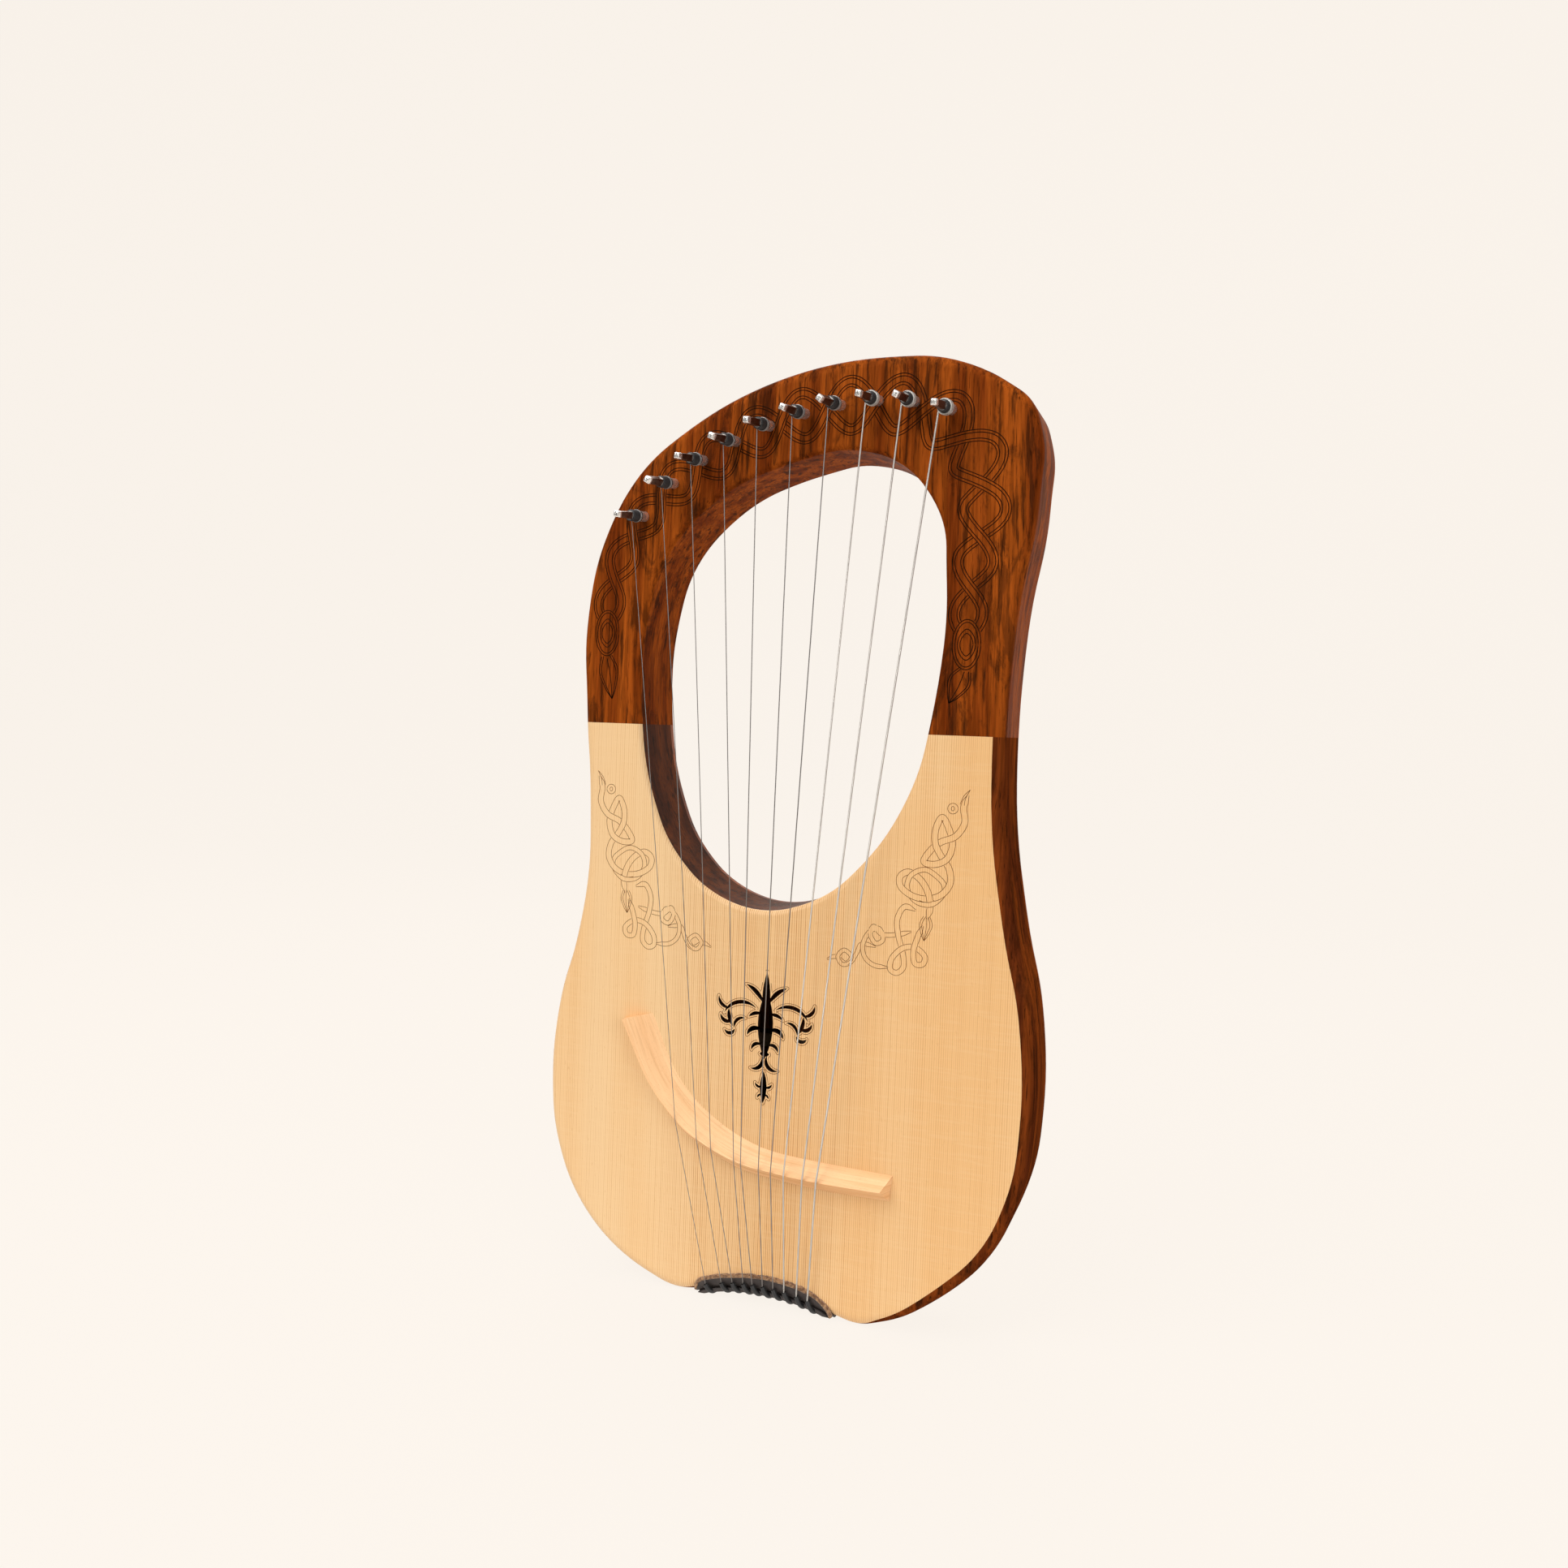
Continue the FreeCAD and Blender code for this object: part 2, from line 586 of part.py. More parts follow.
def square_sketch(body, name, height, width):
    sketch = new_sketch(body, name, height)
    half = size("head_square") / 2
    corners = [Vector(-half, -half, 0), Vector(half, -half, 0), Vector(half, half, 0), Vector(-half, half, 0)]
    for start, end in zip(corners, corners[1:] + corners[:1]):
        sketch.addGeometry(Part.LineSegment(start, end))
    for side in range(4):
        sketch.addConstraint(Sketcher.Constraint("Coincident", side, 2, (side + 1) % 4, 1))
    for side, kind in ((0, "Horizontal"), (1, "Vertical"), (2, "Horizontal"), (3, "Vertical")):
        sketch.addConstraint(Sketcher.Constraint(kind, side))
    sketch.addConstraint(Sketcher.Constraint("Symmetric", 0, 1, 1, 2, -1, 1))
    sketch.addConstraint(Sketcher.Constraint("Equal", 0, 1))
    last = sketch.addConstraint(Sketcher.Constraint("DistanceX", 0, 1, 0, 2, 2 * half))
    sketch.renameConstraint(last, "across")
    sketch.setExpression("Constraints.across", width)
    return sketch


def tuning_pin(name):
    body = doc.addObject("PartDesign::Body", name)
    body.Label = name
    shank = circle_sketch(body, name + "_shank_sketch", "-Sizes.pin_seat", "Sizes.pin_diameter")
    new_pad(body, shank, name + "_shank", "Sizes.pin_seat + Sizes.head_start")
    head = square_sketch(body, name + "_head_sketch", "Sizes.head_start", "Sizes.head_square")
    pad = new_pad(body, head, name + "_head", "Sizes.pin_reach - Sizes.head_start")
    pad.setExpression("TaperAngle", "-Sizes.head_taper")
    doc.recompute()
    tip = max(pad.Shape.Faces, key=lambda face: face.CenterOfMass.z)
    index = [number for number, face in enumerate(pad.Shape.Faces, start=1) if face.isSame(tip)][0]
    chamfer = body.newObject("PartDesign::Chamfer", name + "_tip")
    chamfer.Base = (pad, ["Face%d" % index])
    chamfer.setExpression("Size", "Sizes.head_square / 8")
    body.Tip = chamfer
    return body


BAND_SLIM = 0.6


def pin_band(name):
    """Black sleeve on the pin under the string coil, a little slimmer towards the head."""
    outer = doc.addObject("Part::Cone", name + "_outside")
    outer.setExpression("Radius1", "Sizes.pin_diameter / 2 + Sizes.band_wall")
    outer.setExpression("Radius2", "Sizes.pin_diameter / 2 + Sizes.band_wall * %.1f" % BAND_SLIM)
    outer.setExpression("Height", "Sizes.band_length")
    outer.setExpression(".Placement.Base.z", "Sizes.band_start")
    bore = doc.addObject("Part::Cylinder", name + "_bore")
    bore.setExpression("Radius", "Sizes.pin_diameter / 2")
    bore.setExpression("Height", "Sizes.band_length")
    bore.setExpression(".Placement.Base.z", "Sizes.band_start")
    band = doc.addObject("Part::Cut", name)
    band.Label = name
    band.Base, band.Tool = outer, bore
    return band


COIL_LAP = 0.96


def string_coil(name, number):
    """Turns of string wound on the band, beside the place where the string leaves."""
    thick = gauge(number)
    turns = []
    for turn in range(int(size("coil_turns"))):
        ring = doc.addObject("Part::Torus", "%s_turn_%d" % (name, turn + 1))
        wire = "(%s)" % gauge_formula(number)
        ring.setExpression("Radius2", "%s / 2" % wire)
        ring.setExpression("Radius1", "Sizes.pin_diameter / 2 + Sizes.band_wall + %s / 2" % wire)
        ring.setExpression(".Placement.Base.z", "Sizes.string_leaves + Sizes.coil_gap + %s * %.2f"
                           % (wire, 1.0 + COIL_LAP * turn))
        turns.append(ring)
    coil = doc.addObject("Part::MultiFuse", name)
    coil.Label = name
    coil.Shapes = turns
    return coil


def gauge_formula(number):
    if number < PLAIN_STRINGS:
        return "Sizes.treble_gauge + Sizes.gauge_step * %d" % number
    return "Sizes.bass_gauge + Sizes.bass_step * %d" % (number - PLAIN_STRINGS)


turning_parts = []
for number, place in enumerate(pin_places):
    facing = Rotation(Vector(0, 0, 1), pin_axis)
    seat = Placement(place, facing.multiply(Rotation(Vector(0, 0, 1), HEAD_TURNS[number])))
    for item in (tuning_pin("tuning_pin_%d" % (number + 1)),
                 pin_band("pin_band_%d" % (number + 1)),
                 string_coil("string_coil_%d" % (number + 1), number)):
        item.Placement = seat
        turning_parts.append(item)
doc.recompute()

# ---------------------------------------------------------------- place, check and write
nodes = dict(features)
for item in turning_parts:
    nodes[item.Label] = item
for name, item in sorted(nodes.items()):
    if item.Shape.isNull() or not item.Shape.Solids or not item.Shape.isValid():
        raise RuntimeError("%s has no valid solid" % name)

# The origin is the middle of the whole lyre's base.
everything = FreeCAD.BoundBox()
for item in nodes.values():
    everything.add(item.Shape.optimalBoundingBox(False))
to_origin = Vector(-(everything.XMin + everything.XMax) / 2, -(everything.YMin + everything.YMax) / 2,
                   -everything.ZMin)
for item in nodes.values():
    item.Placement = Placement(to_origin, Rotation()).multiply(item.Placement)
doc.recompute()

for item in doc.Objects:
    if "Invalid" in item.State or "Error" in item.State:
        raise RuntimeError("%s did not compute: %s" % (item.Name, item.State))
for name, item in sorted(nodes.items()):
    if not item.Shape.isValid():
        raise RuntimeError("%s is not valid in its place" % name)
    item.Shape.exportStep("parts/%s.step" % name)

print("nodes", len(nodes))
print("box", everything.XLength, everything.YLength, everything.ZLength)
print("moved by", to_origin)
print("pin axis", pin_axis)
for number, place in enumerate(pin_places, start=1):
    print("pin", number, place + to_origin)
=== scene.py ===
import json
import math

import bmesh
import bpy
import numpy as np
from mathutils import Matrix, Vector


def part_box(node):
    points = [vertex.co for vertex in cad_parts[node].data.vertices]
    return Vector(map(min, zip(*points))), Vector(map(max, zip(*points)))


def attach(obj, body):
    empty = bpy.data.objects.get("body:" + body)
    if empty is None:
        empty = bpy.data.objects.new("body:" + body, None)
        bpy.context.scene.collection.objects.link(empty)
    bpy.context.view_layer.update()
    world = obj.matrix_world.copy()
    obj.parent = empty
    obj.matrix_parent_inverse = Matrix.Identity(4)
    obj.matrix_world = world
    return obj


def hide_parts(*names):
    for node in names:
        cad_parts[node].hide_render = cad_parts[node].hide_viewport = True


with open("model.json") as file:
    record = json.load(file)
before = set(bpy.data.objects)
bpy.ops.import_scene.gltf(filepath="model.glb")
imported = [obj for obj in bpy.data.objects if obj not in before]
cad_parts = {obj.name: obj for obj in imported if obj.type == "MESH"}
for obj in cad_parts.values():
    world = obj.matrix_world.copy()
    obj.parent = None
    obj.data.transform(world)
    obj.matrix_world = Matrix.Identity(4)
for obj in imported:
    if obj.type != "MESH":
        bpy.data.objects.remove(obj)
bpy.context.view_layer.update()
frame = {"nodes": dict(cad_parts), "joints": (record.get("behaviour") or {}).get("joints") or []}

nodes = frame["nodes"]
MM = 0.001

# ---------------------------------------------------------------- rosewood frame
# Yoke, arms, sides and back are oiled rosewood: orange-brown with dark upright streaks and fine
# open pores. The faces are sanded flat, their edges rounded over and rubbed to a soft shine.


def new_group(name, inputs, outputs):
    """A shader node group with named sockets; returns the tree with its input and output nodes."""
    tree = bpy.data.node_groups.new(name, "ShaderNodeTree")
    for label, kind, value in inputs:
        socket = tree.interface.new_socket(label, in_out="INPUT", socket_type="NodeSocket" + kind)
        if value is not None:
            socket.default_value = value
    for label in outputs:
        tree.interface.new_socket(label, in_out="OUTPUT", socket_type="NodeSocketFloat")
    return tree, tree.nodes.new("NodeGroupInput"), tree.nodes.new("NodeGroupOutput")


def add_node(tree, kind, settings=None, **inputs):
    """One node, with attributes from settings and sockets set or linked by name."""
    node = tree.nodes.new("ShaderNode" + kind)
    for key, value in (settings or {}).items():
        setattr(node, key, value)
    for key, value in inputs.items():
        link_or_set(tree, node.inputs[key.replace("_", " ")], value)
    return node


def link_or_set(tree, socket, value):
    if isinstance(value, bpy.types.NodeSocket):
        tree.links.new(value, socket)
    else:
        socket.default_value = value


def maths(tree, operation, first, second=0.0):
    node = add_node(tree, "Math", {"operation": operation})
    link_or_set(tree, node.inputs[0], first)
    link_or_set(tree, node.inputs[1], second)
    return node.outputs[0]


def vector_maths(tree, operation, first, second=(0.0, 0.0, 0.0)):
    node = add_node(tree, "VectorMath", {"operation": operation})
    link_or_set(tree, node.inputs[0], first)
    link_or_set(tree, node.inputs[1], second)
    return node.outputs


def remap(tree, value, low, high, to_low=0.0, to_high=1.0, smooth=True):
    node = add_node(tree, "MapRange", {"interpolation_type": "SMOOTHSTEP" if smooth else "LINEAR"})
    for socket, setting in zip(node.inputs[:5], (value, low, high, to_low, to_high)):
        link_or_set(tree, socket, setting)
    return node.outputs[0]


def blend_colour(tree, factor, first, second, mode="MIX"):
    node = add_node(tree, "Mix", {"data_type": "RGBA", "blend_type": mode, "clamp_factor": True},
                    Factor=factor)
    link_or_set(tree, node.inputs[6], first)
    link_or_set(tree, node.inputs[7], second)
    return node.outputs[2]


def lay_over(tree, mask, amount, colour, other):
    """The colour with another laid over it, by an amount, where the mask is."""
    return blend_colour(tree, maths(tree, "MULTIPLY", mask, amount), colour, other)


def noise(tree, place, scale, detail=3.0, roughness=0.5, distortion=0.0):
    """Soft noise; a scale of three numbers stretches it along the axes."""
    if isinstance(scale, tuple):
        place = add_node(tree, "Mapping", None, Vector=place, Scale=scale).outputs[0]
        scale = 1.0
    return add_node(tree, "TexNoise", None, Vector=place, Scale=scale, Detail=detail,
                    Roughness=roughness, Distortion=distortion).outputs[0]


def wandering(tree, source, scale):
    """How far the grain wanders aside at a place, times the group's sway."""
    drift = maths(tree, "SUBTRACT", noise(tree, source.outputs["Place"], scale, 2.0), 0.5)
    return maths(tree, "MULTIPLY", drift, source.outputs["Sway"])


def rosewood_group():
    """Masks of dark streaks, soft bands, pores and blotches, for wood that grows along Z."""
    tree, source, sink = new_group("rosewood_figure",
                                   [("Place", "Vector", None), ("Sway", "Float", 0.5)],
                                   ("Streaks", "Bands", "Blotches", "Pores", "Grain"))
    wander = wandering(tree, source, (9, 9, 5))
    shift = add_node(tree, "CombineXYZ", None, X=maths(tree, "MULTIPLY", wander, 0.022),
                     Y=maths(tree, "MULTIPLY", wander, 0.014)).outputs[0]
    bent = vector_maths(tree, "ADD", source.outputs["Place"], shift)[0]
    # output, scale, detail, roughness, distortion, and where the mask begins and is full
    for label, scale, detail, roughness, distortion, mask in (
            ("Streaks", (290, 200, 24), 5.0, 0.62, 0.0, (0.53, 0.64)),
            ("Bands", (90, 80, 4.5), 4.0, 0.55, 0.0, (0.36, 0.66)),
            ("Blotches", (70, 60, 22), 6.0, 0.72, 0.6, (0.52, 0.62)),
            ("Pores", (1500, 1500, 70), 2.0, 0.5, 0.0, (0.60, 0.72)),
            ("Grain", (620, 620, 26), 3.0, 0.6, 0.0, None)):
        value = noise(tree, bent, scale, detail, roughness, distortion)
        tree.links.new(remap(tree, value, *mask) if mask else value, sink.inputs[label])
    return tree


rosewood_figure = rosewood_group()


def new_material(name):
    """An empty material with its tree, principled shader and object-space place."""
    material = bpy.data.materials.new(name)
    material.use_nodes = True
    tree = material.node_tree
    shader = tree.nodes["Principled BSDF"]
    place = tree.nodes.new("ShaderNodeTexCoord").outputs["Object"]
    return material, tree, shader, place


def bump(tree, height, strength, distance, below=None):
    node = add_node(tree, "Bump", None, Height=height, Strength=strength, Distance=distance)
    if below is not None:
        tree.links.new(below, node.inputs["Normal"])
    return node.outputs[0]


def surface(tree, shader, colour, rough, normal, **others):
    """Link or set a shader's colour, roughness, normal and any other socket by its name."""
    for label, value in (("Base Color", colour), ("Roughness", rough), ("Normal", normal),
                         *others.items()):
        link_or_set(tree, shader.inputs[label.replace("_", " ")], value)


def rosewood(name, light, mid, dark, sway=0.5, blotch=0.55, shine=0.2):
    material, tree, shader, place = new_material(name)
    figure = add_node(tree, "Group", {"node_tree": rosewood_figure}, Place=place, Sway=sway).outputs
    colour = blend_colour(tree, figure["Bands"], light, mid)
    colour = lay_over(tree, figure["Streaks"], 0.72, colour, dark)
    colour = lay_over(tree, figure["Blotches"], blotch, colour, dark)
    fine = remap(tree, figure["Grain"], 0.35, 0.65, 0.72, 1.16)
    fine = add_node(tree, "CombineColor", None, Red=fine, Green=fine, Blue=fine).outputs[0]
    colour = blend_colour(tree, 1.0, colour, fine, "MULTIPLY")
    colour = lay_over(tree, figure["Pores"], 0.7, colour, [part * 0.35 for part in dark[:3]] + [1])
    height = maths(tree, "SUBTRACT", figure["Grain"], figure["Pores"])
    surface(tree, shader, colour, remap(tree, figure["Grain"], 0.3, 0.7, 0.30, 0.46, False),
            bump(tree, height, 0.22, 0.0002), Specular_IOR_Level=shine)
    return material


face_rosewood = rosewood("rosewood_yoke", (0.34, 0.072, 0.0075, 1), (0.16, 0.028, 0.0035, 1),
                         (0.030, 0.009, 0.003, 1), shine=0.004)
# Painted shade: the sides and the inner rim take darker copies of the face's rosewood, for the shade
# that falls on the sides and inside the hand opening.
sides_wood_painted_shade = rosewood("rosewood_painted_shade_sides", (0.21, 0.044, 0.007, 1), (0.10, 0.020, 0.005, 1),
                         (0.026, 0.008, 0.003, 1), sway=0.9, blotch=0.4, shine=0.0)
rim_wood_painted_shade = rosewood("rosewood_painted_shade_inner_rim", (0.13, 0.034, 0.009, 1), (0.060, 0.016, 0.006, 1),
                        (0.022, 0.008, 0.004, 1), sway=0.9, blotch=0.4, shine=0.02)
back_rosewood = rosewood("rosewood_back", (0.36, 0.082, 0.012, 1), (0.17, 0.034, 0.006, 1),
                         (0.032, 0.010, 0.004, 1), sway=1.3)


def finish_node(name, material):
    """Give a CAD piece its finish."""
    piece = nodes[name]
    piece.data.materials.clear()
    piece.data.materials.append(material)


for name, wood in (("yoke", face_rosewood), ("inner_rim", rim_wood_painted_shade),
                   ("rim_left", sides_wood_painted_shade), ("rim_right", sides_wood_painted_shade),
                   ("back_plate", back_rosewood)):
    finish_node(name, wood)

# ---------------------------------------------------------------- soundboard
# One plate of quarter-sawn spruce, pale and satin, with close upright growth lines. It is glued
# over the sides and trimmed flush, and the rose is sawn through it.
ROSE_HEART = (-0.0066, 0.0, 0.160)    # middle of the sawn rose, in metres
SCORCHED = (0.022, 0.010, 0.006, 1)


def spruce_group():
    """Growth lines across X, fine fibres along Z and silk flecks of a quarter-sawn plate."""
    tree, source, sink = new_group(
        "spruce_figure",
        [("Place", "Vector", None), ("Line Spacing", "Float", 0.0013), ("Sway", "Float", 1.0)],
        ("Lines", "Shade", "Silk", "Fibres", "Flecks"))
    place = source.outputs["Place"]
    parts = add_node(tree, "SeparateXYZ", None, Vector=place).outputs
    wander = wandering(tree, source, (7, 7, 2.2))
    across = maths(tree, "ADD", parts["X"], maths(tree, "MULTIPLY", wander, 0.010))
    # years of slow and fast growth: the spacing stretches and shrinks across the plate
    slow = add_node(tree, "CombineXYZ", None, X=maths(tree, "MULTIPLY", across, 11.0)).outputs[0]
    pace = noise(tree, slow, 1.0, 2.0)
    across = maths(tree, "ADD", across, maths(tree, "MULTIPLY", pace, 0.020))
    count = maths(tree, "DIVIDE", across, source.outputs["Line Spacing"])
    ring = maths(tree, "FRACT", count)
    late = remap(tree, ring, 0.40, 0.86)
    edge = remap(tree, ring, 0.90, 1.0, 1.0, 0.0)
    year = add_node(tree, "TexWhiteNoise", {"noise_dimensions": "1D"},
                    W=maths(tree, "FLOOR", count)).outputs["Value"]
    lines = maths(tree, "MULTIPLY", maths(tree, "MULTIPLY", late, edge),
                  remap(tree, year, 0.0, 1.0, 0.4, 1.0, False))
    fibres = noise(tree, place, (900, 900, 30), 3.0, 0.6)
    silk = noise(tree, place, (60, 60, 700), 2.0)
    flecks = noise(tree, place, (1100, 1100, 260), 2.0)
    shade = noise(tree, place, (14, 14, 1.4))
    for label, value in (("Lines", lines), ("Shade", remap(tree, shade, 0.34, 0.66)),
                         ("Silk", remap(tree, silk, 0.45, 0.70)), ("Fibres", fibres),
                         ("Flecks", remap(tree, flecks, 0.64, 0.74))):
        tree.links.new(value, sink.inputs[label])
    return tree


spruce_figure = spruce_group()


def spruce(name, pale, warm, line, spacing, line_depth):
    material, tree, shader, place = new_material(name)
    figure = add_node(tree, "Group", {"node_tree": spruce_figure}, Place=place, Sway=0.25,
                      Line_Spacing=spacing).outputs
    colour = blend_colour(tree, figure["Shade"], pale, warm)
    # a broad band a little left of the middle of the plate is coloured darker and more strongly lined
    across = add_node(tree, "SeparateXYZ", None, Vector=place).outputs["X"]
    left_weight = maths(tree, "MULTIPLY", remap(tree, across, -0.085, -0.035),
                  remap(tree, across, 0.020, 0.090, 1.0, 0.25))
    colour = lay_over(tree, left_weight, 0.35, colour, warm)
    depth = remap(tree, left_weight, 0.0, 1.0, line_depth * 0.45, line_depth, False)
    colour = lay_over(tree, figure["Lines"], depth, colour, line)
    colour = lay_over(tree, figure["Silk"], 0.16, colour, pale)
    colour = lay_over(tree, figure["Flecks"], 0.22, colour, line)
    # walls of the sawn rose are dark from the heat of the cut
    spot = vector_maths(tree, "SUBTRACT", place, ROSE_HEART)[0]
    reach = vector_maths(tree, "LENGTH", spot)["Value"]
    normal = add_node(tree, "NewGeometry").outputs["True Normal"]
    facing = maths(tree, "ABSOLUTE", add_node(tree, "SeparateXYZ", None, Vector=normal).outputs["Y"])
    wall = maths(tree, "MULTIPLY", remap(tree, facing, 0.4, 0.7, 1.0, 0.0),
                 remap(tree, reach, 0.046, 0.048, 1.0, 0.0))
    colour = blend_colour(tree, wall, colour, SCORCHED)
    height = maths(tree, "ADD", figure["Fibres"], maths(tree, "MULTIPLY", figure["Lines"], 0.5))
    surface(tree, shader, colour, remap(tree, figure["Fibres"], 0.3, 0.7, 0.42, 0.56, False),
            bump(tree, height, 0.18, 0.00015), Specular_IOR_Level=0.4)
    return material


board_spruce = spruce("spruce_soundboard", (0.87, 0.60, 0.32, 1), (0.84, 0.50, 0.215, 1),
                      (0.55, 0.225, 0.055, 1), 0.00125, 1.0)
finish_node("soundboard", board_spruce)
# Painted shade: the spruce inside the body is coloured far darker than the soundboard, for the shade
# inside the body seen through the rose.
inside_spruce_painted_shade = spruce("spruce_painted_shade_inside", (0.20, 0.135, 0.075, 1), (0.15, 0.095, 0.05, 1),
                      (0.08, 0.045, 0.02, 1), 0.0022, 0.5)
for name in ("end_block", "lining_outer_front", "lining_outer_back", "lining_inner_front",
             "lining_inner_back", "brace_upper", "brace_lower", "brace_back", "bridge_patch"):
    finish_node(name, inside_spruce_painted_shade)

# ---------------------------------------------------------------- engraved knotwork on the yoke
# Two ribbons of double lines, cut thin and dark into the rosewood, weave along the yoke behind
# the tuning pins. On both arms they end in an oval ring with a leaf below it.
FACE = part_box("yoke")[0].y           # front face of the wood, in metres


def smooth_line(points, closed=False, step=0.4):
    """Even samples, step millimetres apart, of a smooth curve through the points."""
    points = np.array(points, float)
    if closed:
        ring = np.vstack([points[-1], points, points[0], points[1]])
    else:
        ring = np.vstack([2 * points[0] - points[1], points, 2 * points[-1] - points[-2]])
    parts = []
    for a, b, c, d in zip(ring, ring[1:], ring[2:], ring[3:]):
        t = np.linspace(0, 1, 24, endpoint=False)[:, None]
        parts.append(0.5 * (2 * b + (c - a) * t + (2 * a - 5 * b + 4 * c - d) * t ** 2
                            + (3 * b - a - 3 * c + d) * t ** 3))
    line = np.vstack(parts + [points[:1] if closed else points[-1:]])
    run = np.concatenate([[0], np.cumsum(np.hypot(*np.diff(line, axis=0).T))])
    even = np.linspace(0, run[-1], max(int(run[-1] / step), 8))
    return np.column_stack([np.interp(even, run, line[:, axis]) for axis in (0, 1)])


def side_of(line, closed=False):
    """Unit vectors to the left of a sampled line."""
    along = np.gradient(line, axis=0)
    if closed:
        along[0] = along[-1] = line[1] - line[-2]
    along /= np.linalg.norm(along, axis=1)[:, None]
    return np.column_stack([-along[:, 1], along[:, 0]])


def crossings_of(lines):
    """Where sampled lines cross: (line, sample, other line, its sample), found segment by segment."""
    found = []
    for i, first in enumerate(lines):
        for j in range(i, len(lines)):
            second = lines[j]
            p, r = first[:-1], np.diff(first, axis=0)
            q, s = second[:-1], np.diff(second, axis=0)
            cross = r[:, None, 0] * s[None, :, 1] - r[:, None, 1] * s[None, :, 0]
            cross = np.where(np.abs(cross) < 1e-12, 1e-12, cross)
            gap = q[None] - p[:, None]
            t = (gap[..., 0] * s[None, :, 1] - gap[..., 1] * s[None, :, 0]) / cross
            u = (gap[..., 0] * r[:, None, 1] - gap[..., 1] * r[:, None, 0]) / cross
            for a, b in np.argwhere((t >= 0) & (t < 1) & (u >= 0) & (u < 1)):
                if i != j or (b - a > 4 and b - a < len(first) - 6):
                    found.append((i, int(a), j, int(b)))
    return found


def weave(lines):
    """Decide which line is on top at each crossing, so that each goes over and under in turn.
    Returns for every line the crossings that it passes beneath: (sample, other line, its sample)."""
    found = crossings_of(lines)
    visits = [[] for _ in lines]
    for number, (i, a, j, b) in enumerate(found):
        visits[i].append((a, number, 0))
        visits[j].append((b, number, 1))
    top = {}
    for start in range(len(found)):
        if start in top:
            continue
        top[start] = 0
        queue = [start]
        while queue:
            current = queue.pop()
            for visit in visits:
                visit.sort()
                for k, (_, number, role) in enumerate(visit):
                    if number != current:
                        continue
                    is_over = top[number] == role
                    for step in (-1, 1):
                        if 0 <= k + step < len(visit):
                            _, other, other_role = visit[k + step]
                            if other not in top:
                                top[other] = other_role if not is_over else 1 - other_role
                                queue.append(other)
    beneath = [[] for _ in lines]
    for number, (i, a, j, b) in enumerate(found):
        if top[number] == 0:
            beneath[j].append((b, i, a))
        else:
            beneath[i].append((a, j, b))
    return beneath


def unbroken(line, shown):
    """The stretches of a sampled line that are shown, but for scraps of one or two samples."""
    edges = np.flatnonzero(np.diff(np.concatenate([[0], shown.astype(int), [0]])))
    return [line[a:b] for a, b in zip(edges[::2], edges[1::2]) if b - a > 2]


def woven_lines(strands, closed, halves, offsets, reach, clearance, fade_samples=0):
    """The drawn lines of interlaced ribbons, each broken where its ribbon passes beneath another.
    halves are the ribbons' half widths and offsets their lines' distances from the middle; reach
    is how many samples to each side of a crossing are looked at. Open ribbons narrow at the ends."""
    lines = [smooth_line(points, shut) for points, shut in zip(strands, closed)]
    beneath = weave(lines)
    runs = []
    for k, line in enumerate(lines):
        side = side_of(line, closed[k])
        fade = np.ones(len(line))
        if fade_samples and not closed[k]:
            end = min(fade_samples, len(line) // 4)
            fade[:end] = np.linspace(0.25, 1, end)
            fade[-end:] = np.linspace(1, 0.25, end)
        for offset in offsets[k]:
            drawn = line + side * (offset * fade)[:, None]
            shown = np.ones(len(drawn), bool)
            for sample, other, place in beneath[k]:
                near = slice(max(sample - reach, 0), sample + reach + 1)
                over = lines[other][max(place - reach, 0):place + reach + 1]
                gap = np.linalg.norm(drawn[near, None] - over[None], axis=2).min(axis=1)
                shown[near] &= gap > halves[other] + clearance
            runs += unbroken(drawn, shown)
    return runs


def outside_oval(runs, centre, radii):
    """Keep only what lies outside an oval."""
    kept = []
    for run in runs:
        kept += unbroken(run, (((run - centre) / radii) ** 2).sum(axis=1) >= 1)
    return kept


LINE_TIP = 0.45           # a cut line narrows to this share of its width at its ends


def cut_lines(name, runs, width, material, proud=0.03, sunk=0.12):
    """Engraved lines as one piece: each line a slim closed strip let into the wood."""
    vertices, faces = [], []
    for run in runs:
        side = side_of(run) * (width / 2)
        taper = np.ones(len(run))
        taper[0] = taper[-1] = LINE_TIP
        first = len(vertices)
        for place, offset, share in zip(run, side, taper):
            left, right = place + offset * share, place - offset * share
            for (x, z), y in ((left, -proud), (right, -proud), (right, sunk), (left, sunk)):
                vertices.append((x * MM, FACE + y * MM, z * MM))
        for a in range(first, first + 4 * (len(run) - 1), 4):
            for corner in range(4):
                ahead = (corner + 1) % 4
                faces.append((a + corner, a + ahead, a + 4 + ahead, a + 4 + corner))
        faces.append((first + 3, first + 2, first + 1, first))
        last = first + 4 * (len(run) - 1)
        faces.append((last, last + 1, last + 2, last + 3))
    return new_piece(name, vertices, faces, material, "lyre_body")


def new_piece(name, vertices, faces, material, body):
    """A mesh piece that rides its body and takes the finish it is given."""
    mesh = bpy.data.meshes.new(name)
    mesh.from_pydata([tuple(map(float, vertex)) for vertex in vertices], [], faces)
    mesh.update()
    piece = bpy.data.objects.new(name, mesh)
    bpy.context.scene.collection.objects.link(piece)
    mesh.materials.append(material)
    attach(piece, body)
    return piece


def engraving(name, deep, shallow):
    """The dark floor of a cut line, uneven as the tool went over hard and soft grain."""
    material, tree, shader, place = new_material(name)
    uneven = remap(tree, noise(tree, place, 420.0, 3.0), 0.35, 0.65)
    surface(tree, shader, blend_colour(tree, uneven, deep, shallow), 0.75,
            bump(tree, uneven, 0.3, 0.0001), Specular_IOR_Level=0.0)
    return material


